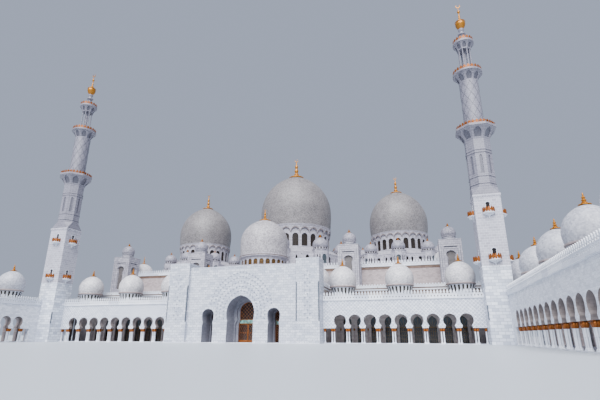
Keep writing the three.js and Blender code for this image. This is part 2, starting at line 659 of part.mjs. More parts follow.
function buildVestibule() {
  const { y, half, top, drum, drumWall, ring, ringFoot, ringTop, radius, widestZ, domeTop } = VESTIBULE;
  const { seat, cap, tip, segments, shell } = VESTIBULE;
  const foot = HALL.roofTop + GAP;
  const inner = half - HALL.wall;
  const bore = drum - drumWall;
  const block = cut(box(-half, half, y - half, y + half, foot, top), [
    box(-inner, inner, y - inner, y + inner, foot - PAST, top - HALL.wall),
    post(bore, segments, top - 2 * PAST, top + PAST, 0, y),
  ]);
  const tube = turned([
    [bore, top - OVERLAP], [drum, top - OVERLAP], [drum, ringFoot], [ring, ringFoot],
    [ring, ringTop - GAP], [bore, ringTop - GAP], [bore, top - OVERLAP],
  ], segments, 0, y);
  add("vestibule_drum", join([block, cut(tube, drumWindows(0, y, VESTIBULE))]), "marble");

  const sizes = { ring: seat, ringTop, radius, widestZ, top: domeTop };
  const outside = domeCurve(sizes, 1, 4).slice(0, -1);
  const inside = domeCurve(sizes, 1, 3, shell).reverse();
  const crown = finialPoints(cap, domeTop, tip);
  add("vestibule_dome", turned([...outside, ...crown, ...inside, outside[0]], segments, 0, y), "dome");
}

function cupola(x, y, z, size) {
  const c = CUPOLA;
  return turned([
    [0, c.foot], [c.base, c.foot], [c.base, c.baseTop], [c.neck, c.baseTop], [c.neck, c.neckTop],
    [c.radius, c.widestZ], [c.spike, c.top], [0, c.tip],
  ].map(([r, h]) => [size * r, z + size * h]), 6, x, y);
}

function buildGreatDome(sizes, addPiece) {
  const { x, podium, podiumWall, podiumTop, cupolaReach, cupolaSize, drum } = sizes;
  const { hoodFoot, ringFoot, ringTop, ring, top, cap, tip, segments, shell } = sizes;
  const base = UPPER.roofTop + GAP;
  const inner = podium - PODIUM.wall;
  const bore = drum - PODIUM.drumWall;
  const [wallInside, topInside] = [podiumWall - PODIUM.roof, podiumTop - PODIUM.roof];
  const podiumShell = turned([
    [inner, base], [podium, base], [podium, podiumWall], [drum * PODIUM.skirt, podiumTop],
    [bore, podiumTop], [bore, topInside], [inner, wallInside], [inner, base],
  ], 8, x, GREAT_Y);
  const cupolas = [];
  for (let i = 0; i < 8; i++) {
    const angle = (i * Math.PI) / 4;
    const [dx, dy] = [cupolaReach * Math.cos(angle), cupolaReach * Math.sin(angle)];
    cupolas.push(cupola(x + dx, GREAT_Y + dy, podiumWall, cupolaSize));
  }
  const podiumRoom = turned([
    [0, base - PAST], [inner, base - PAST], [inner, wallInside], [bore, topInside], [0, topInside],
  ], 8, x, GREAT_Y);
  addPiece("podium", cut(join([podiumShell, ...cupolas]), [podiumRoom]), "marble");

  const tube = turned([
    [bore, podiumTop + GAP], [drum, podiumTop + GAP], [drum, hoodFoot], [ring, ringFoot],
    [ring, ringTop - GAP], [bore, ringTop - GAP], [bore, podiumTop + GAP],
  ], segments, x, GREAT_Y);
  addPiece("drum", cut(tube, drumWindows(x, GREAT_Y, sizes)), "marble");

  const outside = domeCurve(sizes, 1, 5).slice(0, -1);
  const inside = domeCurve(sizes, 1, 3, shell).slice(0, -1).reverse();
  const crownZ = outside.at(-1)[1] + CROWN_RISE;
  const crown = [[0, crownZ], [0, top - shell]];
  const dome = turned([...outside, ...crown, ...inside, outside[0]], segments, x, GREAT_Y);
  addPiece("dome", dome, "dome");

  const foot = crownZ + GAP;
  const finial = turned([[0, foot], [cap, foot], ...finialPoints(cap, top, tip)], 8, x, GREAT_Y);
  addPiece("finial", finial, "gold");
}

// A gallery's edge: its slab, its railing wall and its floor behind that.
function gallery(rim, floor) {
  const { slab, rail, railWall } = MINARET;
  const inside = rim - railWall;
  return [[rim, floor - slab], [rim, floor + rail], [inside, floor + rail], [inside, floor]];
}

function buildMinaretShaft() {
  const m = MINARET;
  const b = BALCONY;
  const inner = m.half - m.wall;
  const top = m.shaftTop - GAP;
  const cornice = minaretBox(m.cornice - m.half, m.shaftTop - m.corniceDepth, top);
  const solids = [minaretBox(0, GROUND, top), cornice];
  const hollows = [box(m.x - inner, m.x + inner, -inner, inner, GROUND - PAST, m.shaftTop + PAST)];
  for (const floor of b.floors) {
    const inside = b.radius - b.railWall;
    const foot = floor - b.slab - b.corbel;
    for (let i = 0; i < 4; i++) {
      const angle = (i * Math.PI) / 2;
      const [x, y] = [m.x + m.half * Math.cos(angle), m.half * Math.sin(angle)];
      solids.push(turned([
        [0, foot], [b.foot, foot], [b.radius, floor - b.slab], [b.radius, floor + b.rail],
        [inside, floor + b.rail], [inside, floor], [0, floor],
      ], 8, x, y));
      const doorway = box(-b.doorHalf, b.doorHalf, -m.half, -inner + PAST / 2, floor, floor + b.doorTop);
      hollows.push(doorway.rotate([0, 0, 90 + 90 * i]).translate([m.x, 0, 0]));
    }
  }
  addPair("minaret_shaft", cut(join(solids), hollows), "marble");
}

function buildMinaretTop() {
  const m = MINARET;
  const eighth = Math.PI / 8;
  const pyramid = cut(turned([
    [0, m.shaftTop], [Math.SQRT2 * m.half, m.shaftTop], [Math.SQRT2 * m.pyramidHalf, m.pyramidTop],
    [0, m.pyramidTop],
  ], 4, m.x, 0, Math.PI / 4), [post(m.bore, 8, m.shaftTop - PAST, m.pyramidTop + PAST, m.x, 0, eighth)]);
  const mouldings = m.mouldZ.flatMap((z) => [
    [m.octagon, z - m.mouldHalf], [m.octagon + m.mould, z], [m.octagon, z + m.mouldHalf],
  ]);
  const octagon = turned([
    [m.bore, m.shaftTop + OVERLAP], [m.octagon, m.shaftTop + OVERLAP], ...mouldings,
    [m.octagon, m.corbelFoot], ...gallery(m.firstRim, m.firstFloor),
    [m.bore, m.firstFloor], [m.bore, m.shaftTop + OVERLAP],
  ], 8, m.x, 0, eighth);
  addPair("minaret_octagon", join([octagon, pyramid]), "marble");

  const roundFoot = m.firstFloor + GAP;
  const round = turned([
    [m.bore, roundFoot], [m.shaft, roundFoot], [m.shaft, m.secondCorbel],
    ...gallery(m.secondRim, m.secondFloor), [m.bore, m.secondFloor], [m.bore, roundFoot],
  ], 12, m.x, 0);
  const sill = m.firstFloor + m.mouldHalf / 2;
  const doorway = box(
    m.x - m.doorHalf, m.x + m.doorHalf, -m.shaft - PAST, 0, sill, m.firstFloor + m.doorTop);
  addPair("minaret_round_shaft", cut(round, [doorway]), "marble");

  const lantern = [
    post(m.lantern + m.column, 12, m.secondFloor + GAP, m.lanternFoot, m.x, 0),
    turned([
      [0, m.lanternTop], [m.lantern, m.lanternTop],
      [m.thirdRim, m.thirdRimFoot], [m.thirdRim, m.thirdTop],
      ...NECK.map(([r, h]) => [r, m.thirdTop + h]), [m.neck, m.neckTop], [0, m.neckTop],
    ], 12, m.x, 0),
  ];
  const reach = m.lantern - m.column;
  for (let i = 0; i < m.columns; i++) {
    const angle = (i * 2 * Math.PI) / m.columns;
    const [x, y] = [m.x + reach * Math.cos(angle), reach * Math.sin(angle)];
    lantern.push(post(m.column, 4, m.lanternFoot - OVERLAP, m.lanternTop + OVERLAP, x, y));
  }
  addPair("minaret_lantern", join(lantern), "marble");

  const foot = m.neckTop + GAP;
  const point = MINARET_FINIAL.at(-1)[0];
  addPair("minaret_finial", turned([
    [0, foot], [m.neck, foot], ...MINARET_FINIAL.map(([r, h]) => [r, m.ballZ + h]),
    [point, m.tip], [0, m.tip],
  ], 8, m.x, 0), "gold");
}

buildArcades();
buildArcadeRoofs();
buildPortal();
buildHallWalls();
buildHallRoofs();
buildTurrets();
buildVestibule();
buildGreatDome(MAIN_DOME, (name, body, finish) => add(`main_${name}`, body, finish));
buildGreatDome(FLANK_DOME, (name, body, finish) => addPair(`flank_${name}`, body, finish));
buildMinaretShaft();
buildMinaretTop();

export default group;
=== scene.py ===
"""Dresses the frame of a white marble mosque, a 1:10 model, in its finished surfaces and fine parts."""

import logging
import math
from dataclasses import dataclass, field
from enum import Enum
from functools import cached_property
from typing import Callable, Iterable, Sequence

import bmesh
import bpy
from mathutils import Matrix, Vector


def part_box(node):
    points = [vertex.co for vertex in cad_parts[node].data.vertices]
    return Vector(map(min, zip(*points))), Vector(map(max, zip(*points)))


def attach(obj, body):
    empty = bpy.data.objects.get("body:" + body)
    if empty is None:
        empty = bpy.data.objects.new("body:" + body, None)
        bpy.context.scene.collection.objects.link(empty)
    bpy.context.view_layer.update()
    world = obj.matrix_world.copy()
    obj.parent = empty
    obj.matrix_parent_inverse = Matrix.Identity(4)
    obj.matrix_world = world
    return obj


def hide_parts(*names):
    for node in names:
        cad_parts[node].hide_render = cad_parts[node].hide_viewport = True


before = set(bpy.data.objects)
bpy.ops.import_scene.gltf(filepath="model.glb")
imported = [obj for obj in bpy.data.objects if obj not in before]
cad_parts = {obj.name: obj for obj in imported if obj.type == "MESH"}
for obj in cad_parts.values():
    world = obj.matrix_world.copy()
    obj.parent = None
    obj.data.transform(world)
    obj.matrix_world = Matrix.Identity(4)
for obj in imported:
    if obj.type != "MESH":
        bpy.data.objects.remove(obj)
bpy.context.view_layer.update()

log = logging.getLogger("mosque")

Point = tuple[float, float]
Span = tuple[float, float]
Tree = bpy.types.NodeTree
Node = bpy.types.Node
Socket = bpy.types.NodeSocket
Material = bpy.types.Material

SHARP_ANGLE = math.radians(34)
GAP = 0.0003
LIFT = 0.06
FLOOR = 0.015 - LIFT
FOOT = FLOOR + GAP
CORNICE = 0.025
EIGHTH = math.pi / 8
BUILDING = "building"


class Slot(Enum):
    """The material slots of the record."""

    MARBLE = "white_marble"
    MOSAIC = "dome_mosaic"
    GOLD = "gold_finish"
    GLASS = "lattice_glass"
    FLOOR = "floor_marble"


class Relief(Enum):
    """What is cut into a marble face."""

    PLAIN = 0
    TRELLIS = 1
    SCROLL = 2


def linear(code: str) -> tuple[float, float, float, float]:
    """Turns an sRGB hex colour into linear light.

    Args:
        code: six hex digits.

    Returns:
        Red, green, blue and alpha for a shader socket.
    """
    parts = [int(code[i:i + 2], 16) / 255 for i in (0, 2, 4)]
    red, green, blue = (c / 12.92 if c <= 0.04045 else ((c + 0.055) / 1.055) ** 2.4 for c in parts)
    return red, green, blue, 1.0


def add_node(tree: Tree, kind: str, settings: dict | None = None, links: dict | None = None) -> Node:
    """Adds one shader node with its settings and links.

    Args:
        tree: the node tree of a material.
        kind: Blender's name for the node.
        settings: attributes by name, and input values by socket name or number.
        links: output sockets by the input's name or number.

    Returns:
        The new node.
    """
    node = tree.nodes.new(kind)
    for name, value in (settings or {}).items():
        if isinstance(name, str) and hasattr(node, name):
            setattr(node, name, value)
        else:
            node.inputs[name].default_value = value
    for name, output in (links or {}).items():
        tree.links.new(output, node.inputs[name])
    return node


def calc(tree: Tree, operation: str, *values: Socket | float) -> Socket:
    """Adds one sum of sockets and numbers, and returns its result."""
    numbers = {i: v for i, v in enumerate(values) if isinstance(v, float)}
    sockets = {i: v for i, v in enumerate(values) if not isinstance(v, float)}
    return add_node(tree, "ShaderNodeMath", {"operation": operation, **numbers}, sockets).outputs[0]


def remap(tree: Tree, value: Socket, source: Span, target: Span, kind: str = "LINEAR") -> Socket:
    """Maps one span of values onto another, and returns the result."""
    limits = dict(zip(("From Min", "From Max", "To Min", "To Max"), (*source, *target)))
    return add_node(tree, "ShaderNodeMapRange", {"interpolation_type": kind, **limits}, {"Value": value}).outputs[0]


def blend(tree: Tree, factor: Socket, first: Socket | str, second: str) -> Socket:
    """Mixes a colour, given as a socket or a hex code, with a second one, and returns the result."""
    settings, links = {"data_type": "RGBA", 7: linear(second)}, {0: factor}
    if isinstance(first, str):
        settings[6] = linear(first)
    else:
        links[6] = first
    return add_node(tree, "ShaderNodeMix", settings, links).outputs[2]


class Form:
    """A mesh in the making, in metres."""

    def __init__(self) -> None:
        """Starts with nothing."""
        self.bm = bmesh.new()

    def mesh(self) -> bpy.types.Mesh:
        """Returns the form as mesh data."""
        mesh = bpy.data.meshes.new("form")
        self.bm.to_mesh(mesh)
        return mesh

    def put(self, other: "Form", *places: Matrix) -> "Form":
        """Adds copies of another form.

        Args:
            other: the form that is copied.
            places: one matrix for each copy, or none for one copy as it stands.

        Returns:
            This form.
        """
        source = other.mesh()
        for place in places or (Matrix.Identity(4),):
            copy = source.copy()
            copy.transform(place)
            if place.determinant() < 0:
                copy.flip_normals()
            self.bm.from_mesh(copy)
            bpy.data.meshes.remove(copy)
        bpy.data.meshes.remove(source)
        return self

    def moved(self, place: Matrix) -> "Form":
        """Moves every vertex by a matrix and returns the form."""
        bmesh.ops.transform(self.bm, matrix=place, verts=self.bm.verts)
        return self

    def warped(self, rule: Callable[[Vector], Vector]) -> "Form":
        """Moves every vertex to where the rule puts it and returns the form."""
        for vert in self.bm.verts:
            vert.co = rule(vert.co)
        return self

    def sliced(self, axis: int, cuts: Iterable[float]) -> "Form":
        """Cuts the faces by planes, so that they can bend.

        Args:
            axis: 0, 1 or 2 for X, Y or Z.
            cuts: where the planes lie on that axis.

        Returns:
            This form.
        """
        normal = Vector([float(i == axis) for i in range(3)])
        for cut in cuts:
            geom = [*self.bm.verts, *self.bm.edges, *self.bm.faces]
            bmesh.ops.bisect_plane(self.bm, geom=geom, dist=1e-6, plane_co=normal * cut, plane_no=normal)
        return self

    def welded(self, distance: float = 1e-5) -> "Form":
        """Merges vertices that lie together and turns the faces outwards."""
        bmesh.ops.remove_doubles(self.bm, verts=self.bm.verts, dist=distance)
        bmesh.ops.recalc_face_normals(self.bm, faces=self.bm.faces)
        return self

    def painted(self, index: int) -> "Form":
        """Gives every face one of the piece's materials by number."""
        for face in self.bm.faces:
            face.material_index = index
        return self


def at(x: float = 0, y: float = 0, z: float = 0, turn: float = 0) -> Matrix:
    """Returns a place: a turn about the vertical, then a move."""
    return Matrix.Translation((x, y, z)) @ Matrix.Rotation(turn, 4, "Z")


def tilt(angle: float) -> Matrix:
    """Returns a turn about Y, which leans what stands along X or Z."""
    return Matrix.Rotation(angle, 4, "Y")


def around(count: int, radius: float = 0, first: float = 0) -> list[Matrix]:
    """Returns places evenly round the axis, each turned so that its -Y looks outwards."""
    return [Matrix.Rotation(first + i * math.tau / count, 4, "Z") @ Matrix.Translation((0, -radius, 0))
            for i in range(count)]


def block(x: Span, y: Span, z: Span, bevel: float = 0.0) -> Form:
    """Makes a box between two corners.

    Args:
        x: its lowest and highest X.
        y: its lowest and highest Y.
        z: its lowest and highest Z.
        bevel: how wide its edges are worn off.

    Returns:
        The box.
    """
    form = Form()
    verts = bmesh.ops.create_cube(form.bm, size=1.0)["verts"]
    bmesh.ops.scale(form.bm, vec=(x[1] - x[0], y[1] - y[0], z[1] - z[0]), verts=verts)
    bmesh.ops.translate(form.bm, vec=((x[0] + x[1]) / 2, (y[0] + y[1]) / 2, (z[0] + z[1]) / 2), verts=verts)
    if bevel:
        bmesh.ops.bevel(form.bm, geom=form.bm.edges, offset=bevel, offset_type="OFFSET", segments=2,
                        profile=0.5, affect="EDGES", material=-1, clamp_overlap=True)
    return form


def plate(loops: Sequence[Sequence[Point]], depth: float) -> Form:
    """Makes an upright panel that faces -Y.

    Args:
        loops: its outline in X and Z, and then its holes.
        depth: how far it reaches along Y, from 0.

    Returns:
        The panel.
    """
    form = Form()
    edges = []
    for loop in loops:
        verts = [form.bm.verts.new((x, 0, z)) for x, z in loop]
        if len(loops) == 1:
            form.bm.faces.new(verts)
        else:
            edges += [form.bm.edges.new(pair) for pair in zip(verts, verts[1:] + verts[:1])]
    if edges:
        bmesh.ops.triangle_fill(form.bm, use_beauty=True, use_dissolve=False, edges=edges)
    made = bmesh.ops.extrude_face_region(form.bm, geom=form.bm.faces)["geom"]
    back = [v for v in made if isinstance(v, bmesh.types.BMVert)]
    bmesh.ops.translate(form.bm, vec=(0, depth, 0), verts=back)
    bmesh.ops.recalc_face_normals(form.bm, faces=form.bm.faces)
    return form


def prism(outline: Sequence[Point], z: Span) -> Form:
    """Makes an upright solid from its outline in X and Y."""
    turn = Matrix.Rotation(-math.pi / 2, 4, "X")
    return plate([outline], z[1] - z[0]).moved(Matrix.Translation((0, 0, z[1])) @ turn)


def turned(profile: Sequence[Point], steps: int, start: float = 0.0) -> Form:
    """Spins a profile of (radius, height) points round the vertical axis.

    Args:
        profile: the points, which begin and end on the axis or close on themselves.
        steps: how many sides the solid gets.
        start: the angle of the first side's corner.

    Returns:
        The turned solid.
    """
    form = Form()
    verts = [form.bm.verts.new((r, 0, z)) for r, z in profile]
    edges = [form.bm.edges.new(pair) for pair in zip(verts, verts[1:])]
    bmesh.ops.spin(form.bm, geom=[*verts, *edges], cent=(0, 0, 0), axis=(0, 0, 1), angle=math.tau,
                   steps=steps, use_merge=True)
    form.welded(1e-6)
    return form.moved(Matrix.Rotation(start, 4, "Z")) if start else form


def cylinder(radius: float, z: Span, steps: int, start: float = 0.0) -> Form:
    """Makes an upright cylinder, or a prism where it has few steps."""
    return turned([(0, z[0]), (radius, z[0]), (radius, z[1]), (0, z[1])], steps, start)


def hoop(radii: Span, z: Span, steps: int, start: float = 0.0) -> Form:
    """Makes a ring of square section between two radii and two heights."""
    (inner, outer), (low, high) = radii, z
    return turned([(inner, low), (outer, low), (outer, high), (inner, high), (inner, low)], steps, start)


def wide(half: float, centre: float = 0.0) -> Span:
    """Returns the span that reaches that far to both sides of its centre."""
    return centre - half, centre + half


def raised(points: Iterable[Point], z: float) -> list[Point]:
    """Returns the points, lifted to a height."""
    return [(x, z + h) for x, h in points]


def mirrored(right: Sequence[Point], centre: float = 0.0) -> list[Point]:
    """Returns a whole outline from its right half: up on the left and down on the right."""
    return [(centre - x, z) for x, z in right] + [(centre + x, z) for x, z in reversed(right[:-1])]


def bend(a: Point, b: Point, c: Point, steps: int) -> list[Point]:
    """Returns points on the quadratic curve from a to c that leans towards b, without a itself."""
    points = []
    for i in range(1, steps + 1):
        t = i / steps
        points.append(tuple((1 - t) ** 2 * p + 2 * t * (1 - t) * q + t * t * r for p, q, r in zip(a, b, c)))
    return points


def lerp(table: Sequence[Point], value: float) -> float:
    """Reads a value off a table of (key, value) points, straight between them."""
    if value <= table[0][0]:
        return table[0][1]
    for (k0, v0), (k1, v1) in zip(table, table[1:]):
        if value <= k1:
            return v0 + (v1 - v0) * (value - k0) / max(k1 - k0, 1e-9)
    return table[-1][1]


@dataclass(frozen=True)
class Arch:
    """A horseshoe arch: half widths, the heights that they lie at, and how round its head is."""

    jamb: float
    flare: float
    neck: float
    neck_z: float
    wide: float
    wide_z: float
    apex: float
    round: float = 0.62

    def half(self, foot: float, steps: int, grow: float = 0.0) -> list[Point]:
        """Returns the right half of the outline, from its foot up to the apex."""
        swell = self.neck_z + 0.42 * (self.wide_z - self.neck_z)
        apex = self.apex + 1.25 * grow
        shoulder = self.wide_z + self.round * (apex - self.wide_z)
        jamb, neck, wide = (v + grow for v in (self.jamb, self.neck, self.wide))
        points = [(jamb, self.flare), (neck, self.neck_z)]
        points += bend(points[-1], (wide, swell), (wide, self.wide_z), max(2, steps // 2))
        points += bend((wide, self.wide_z), (wide, shoulder), (0.0, apex), steps)
        return [(jamb, foot), *points] if self.flare > foot else points

    def outline(self, foot: float, steps: int = 8, centre: float = 0.0, grow: float = 0.0) -> list[Point]:
        """Returns the outline from the left foot over the apex to the right foot.

        Args:
            foot: the height that the outline starts at.
            steps: how fine the upper curves are.
            centre: where the arch stands along X.
            grow: how far outside the opening the outline runs.

        Returns:
            The points.
        """
        return mirrored(self.half(foot, steps, grow), centre)

    def half_width(self, z: float) -> float:
        """Returns half the opening's width at a height."""
        return lerp([(h, w) for w, h in self.half(0.0, 12)], z)


def pointed(half: float, foot: float, spring: float, apex: float, steps: int = 4, centre: float = 0.0) -> list[Point]:
    """Returns the outline of a window with upright jambs and a pointed head, left to right."""
    right = [(half, foot), (half, spring)]
    right += bend((half, spring), (half, spring + 0.62 * (apex - spring)), (0.0, apex), steps)
    return mirrored(right, centre)


def round_headed(half: float, foot: float, spring: float, apex: float, steps: int = 4,
                 centre: float = 0.0) -> list[Point]:
    """Returns the outline of a window with upright jambs and a round head, left to right."""
    turns = [math.pi * (1 - i / (2 * steps)) for i in range(2 * steps + 1)]
    head = [(centre + half * math.cos(a), spring + (apex - spring) * math.sin(a)) for a in turns]
    return [(centre - half, foot), *head, (centre + half, foot)]


def framed(outline: Sequence[Point], inner: Sequence[Point], proud: float) -> Form:
    """Makes a raised frame in front of Y = 0 between two closed outlines."""
    return plate([outline, inner], proud).moved(at(y=-proud))


def rim(outer: Sequence[Point], inner: Sequence[Point], proud: float) -> Form:
    """Makes a raised band in front of Y = 0 between two outlines that are open at their feet."""
    return plate([[*outer, *reversed(inner)]], proud).moved(at(y=-proud))


def rectangle(x: Span, z: Span) -> list[Point]:
    """Returns a rectangle's four corners."""
    return [(x[0], z[0]), (x[1], z[0]), (x[1], z[1]), (x[0], z[1])]


def arched_wall(x: Span, z: Span, openings: Sequence[tuple[float, Arch]], depth: float, steps: int = 8) -> Form:
    """Makes a wall along X whose foot is broken by arches, with the arches' undersides painted 1.

    Args:
        x: its two ends.
        z: its foot and its top.
        openings: each arch with its centre.
        depth: the wall's thickness.
        steps: how fine the arches' curves are.

    Returns:
        The wall, with its face at Y = 0.
    """
    outline = [(x[0], z[0])]
    for centre, arch in openings:
        outline += arch.outline(z[0], steps, centre)
    outline += [(x[1], z[0]), (x[1], z[1]), (x[0], z[1])]
    form = plate([outline], depth)
    for face in form.bm.faces:
        middle = face.calc_center_median()
        inside = all(a + 1e-4 < v < b - 1e-4 for v, (a, b) in ((middle.x, x), (middle.z, z)))
        if inside and abs(middle.y - depth / 2) < 1e-4:
            face.material_index = 1
    return form


def open_ended(panel: Form) -> float:
    """Takes off a panel's two end faces, and returns half its width."""
    half = max(v.co.x for v in panel.bm.verts)
    ends = [f for f in panel.bm.faces if all(abs(abs(v.co.x) - half) < 1e-6 for v in f.verts)]
    bmesh.ops.delete(panel.bm, geom=ends, context="FACES")
    return half


def ring_of(panel: Form, bays: int, radius: Callable[[float], float], slices: int = 4) -> Form:
    """Bends a panel one bay wide round the axis, and repeats it until the ring is closed.

    Args:
        panel: the bay, as wide as its share of the ring.
        bays: how many there are.
        radius: the outer radius at each height.
        slices: how many flats the bay is bent in.

    Returns:
        The ring.
    """
    half = max(v.co.x for v in panel.bm.verts)
    open_ended(panel.sliced(0, [half * (2 * i / slices - 1) for i in range(1, slices)]))

    def curved(co: Vector) -> Vector:
        """Bends the panel's X round the axis."""
        angle = co.x / half * math.pi / bays
        reach = radius(co.z) - co.y
        return Vector((reach * math.sin(angle), -reach * math.cos(angle), co.z))

    return Form().put(panel.warped(curved), *around(bays)).welded()


def walls_round(panels: Sequence[Form], sides: int, radius: Callable[[float], float], first: float = 0.0) -> Form:
    """Sets upright panels round a polygon whose size may change with height.

    Args:
        panels: the sides in turn, each as wide as the polygon's side.
        sides: how many sides there are.
        radius: how far a side stands from the axis at each height.
        first: the angle of the first side.

    Returns:
        The closed ring of panels, mitred at its corners.
    """
    slope = math.tan(math.pi / sides)
    form = Form()
    for number, panel in enumerate(panels):
        half = open_ended(panel)

        def mitred(co: Vector) -> Vector:
            """Narrows the panel's X towards the axis, so that its ends meet the next panel's."""
            reach = radius(co.z)
            return Vector((co.x * (reach - co.y) * slope / half, co.y - reach, co.z))

        form.put(panel.warped(mitred), *around(sides, 0, first)[number::len(panels)])
    return form.welded()


@dataclass(frozen=True)
class DomeShape:
    """A dome's shape: the radius at its ring and the ring's height, the widest radius and its height, the crown."""

    ring: float
    foot: float
    radius: float
    widest: float
    top: float

    def profile(self, steps: int, inset: float = 0.0) -> list[Point]:
        """Returns the (radius, height) points from ring to crown, that far inside the outer face."""
        reach, crown = self.radius - inset, self.top - inset
        rise = crown - self.widest
        points = [(self.ring - inset, self.foot)]
        points += bend(points[0], (reach, (self.foot + self.widest) / 2), (reach, self.widest), max(2, steps // 3))
        pull = ((reach, self.widest), (reach, self.widest + 0.56 * rise), (0.5 * reach, self.widest + 0.92 * rise),
                (0.0, crown))
        for i in range(1, steps + 1):
            t = i / steps
            weights = ((1 - t) ** 3, 3 * t * (1 - t) ** 2, 3 * t * t * (1 - t), t ** 3)
            points.append(tuple(sum(w * p[k] for w, p in zip(weights, pull)) for k in (0, 1)))
        return points

    def solid(self, steps: int, sides: int) -> Form:
        """Makes the dome as one solid."""
        return turned([(0, self.foot), *self.profile(steps)], sides)

    def hollow(self, steps: int, inner_steps: int, sides: int, wall: float = 0.05) -> Form:
        """Makes the dome as a shell of that wall, open below."""
        outside = self.profile(steps)
        return turned([*outside, *reversed(self.profile(inner_steps, wall)), outside[0]], sides)


@dataclass(frozen=True)
class Finish:
    """A finish: what a surface is made of and how it was worked."""

    name: str
    colour: str
    roughness: float
    slot: Slot = field(default=Slot.MARBLE, kw_only=True)

    def dress(self, tree: Tree, shader: Node, place: Socket) -> None:
        """Adds the finish's own nodes, of which a plain one has none.

        Args:
            tree: the material's node tree.
            shader: its shader, with the plain values set.
            place: the object's own coordinates.
        """

    def connect(self, tree: Tree, shader: Node, colour: Socket, height: Socket, strength: float, depth: float) -> None:
        """Gives the shader its colour and a bump, whose depth is in metres."""
        bump = add_node(tree, "ShaderNodeBump", {"Strength": strength, "Distance": depth}, {"Height": height})
        tree.links.new(colour, shader.inputs["Base Color"])
        tree.links.new(bump.outputs[0], shader.inputs["Normal"])

    @cached_property
    def material(self) -> Material:
        """The material of this finish, made once."""
        material = bpy.data.materials.new(self.name)
        material.use_nodes = True
        tree = material.node_tree
        shader = tree.nodes["Principled BSDF"]
        shader.inputs["Base Color"].default_value = linear(self.colour)
        shader.inputs["Roughness"].default_value = self.roughness
        self.dress(tree, shader, add_node(tree, "ShaderNodeTexCoord").outputs["Object"])
        return material


@dataclass(frozen=True)
class Marble(Finish):
    """Honed marble cladding: cool white blocks with faint grey clouds, hairline joints and a soft sheen."""

    vein: str = "b9bfce"
    joint: str = "a9afbd"
    block_mm: float = 90.0
    course_mm: float = 45.0
    joint_mm: float = 2.0
    relief: Relief = Relief.PLAIN
    relief_mm: float = 45.0
    cloud_mm: float = 260.0
    joint_depth: float = 0.35
    bias: float = -0.2
    # How far the relief's low parts are darkened towards the joint colour: painted shade.
    dust: float = 0.55

    def flat_coordinates(self, tree: Tree) -> Socket:
        """Returns a vector that runs along each wall and up it, whichever way the wall faces."""
        place = add_node(tree, "ShaderNodeTexCoord")
        where, facing = (add_node(tree, "ShaderNodeSeparateXYZ", links={0: place.outputs[n]}).outputs
                         for n in ("Object", "Normal"))
        side = calc(tree, "GREATER_THAN", calc(tree, "ABSOLUTE", facing["X"]), 0.72)
        up = calc(tree, "GREATER_THAN", calc(tree, "ABSOLUTE", facing["Z"]), 0.8)
        along, height = (add_node(tree, "ShaderNodeMix", links={0: turn, 2: where[axis], 3: where["Y"]}).outputs[0]
                         for turn, axis in ((side, "X"), (up, "Z")))
        return add_node(tree, "ShaderNodeCombineXYZ", links={0: along, 1: height}).outputs[0]

    def trellis(self, tree: Tree, flat: Socket) -> Socket:
        """Returns the height of a low trellis of crossing bars."""
        where = add_node(tree, "ShaderNodeSeparateXYZ", links={0: flat}).outputs
        bars = []
        for operation in ("ADD", "SUBTRACT"):
            cell = calc(tree, "MULTIPLY", calc(tree, operation, where["X"], where["Y"]), 1000 / self.relief_mm)
            bars.append(remap(tree, calc(tree, "PINGPONG", cell, 0.5), (0.06, 0.16), (1.0, 0.0), "SMOOTHSTEP"))
        return calc(tree, "MAXIMUM", *bars)

    def scroll(self, tree: Tree, flat: Socket) -> Socket:
        """Returns the height of low rosettes with rings round them."""
        cells = add_node(tree, "ShaderNodeTexVoronoi", {
            "voronoi_dimensions": "2D", "feature": "F1", "Scale": 1000 / self.relief_mm, "Randomness": 0.7},
            {"Vector": flat})
        return calc(tree, "SINE", calc(tree, "MULTIPLY", cells.outputs["Distance"], 16.0))

    def dress(self, tree: Tree, shader: Node, place: Socket) -> None:
        """Adds clouds, blocks with their joints, and the relief with painted shade in its low parts."""
        flat = self.flat_coordinates(tree)
        stones = add_node(tree, "ShaderNodeTexBrick", {
            "offset": 0.5, "Color1": linear(self.colour), "Color2": linear(self.vein), "Mortar": linear(self.joint),
            "Scale": 1.0, "Brick Width": self.block_mm / 1000, "Row Height": self.course_mm / 1000,
            "Mortar Size": self.joint_mm / 2000, "Mortar Smooth": 0.2, "Bias": self.bias}, {"Vector": flat}).outputs
        clouds = add_node(tree, "ShaderNodeTexNoise", {
            "Scale": 1000 / self.cloud_mm, "Detail": 6.0, "Roughness": 0.62, "Distortion": 0.8}, {"Vector": place})
        base = blend(tree, remap(tree, clouds.outputs[0], (0.42, 0.72), (0.0, 0.3)), stones["Color"], self.vein)
        height = calc(tree, "MULTIPLY", stones["Fac"], -self.joint_depth)
        if self.relief != Relief.PLAIN:
            cut = self.trellis(tree, flat) if self.relief == Relief.TRELLIS else self.scroll(tree, flat)
            height = calc(tree, "MULTIPLY_ADD", cut, 0.8, height)
            # Painted shade: the relief's low parts are darkened towards the joint colour.
            base = blend(tree, remap(tree, cut, (-0.4, 1.0), (self.dust, 0.0)), base, self.joint)
        self.connect(tree, shader, base, height, 0.6, 0.004)


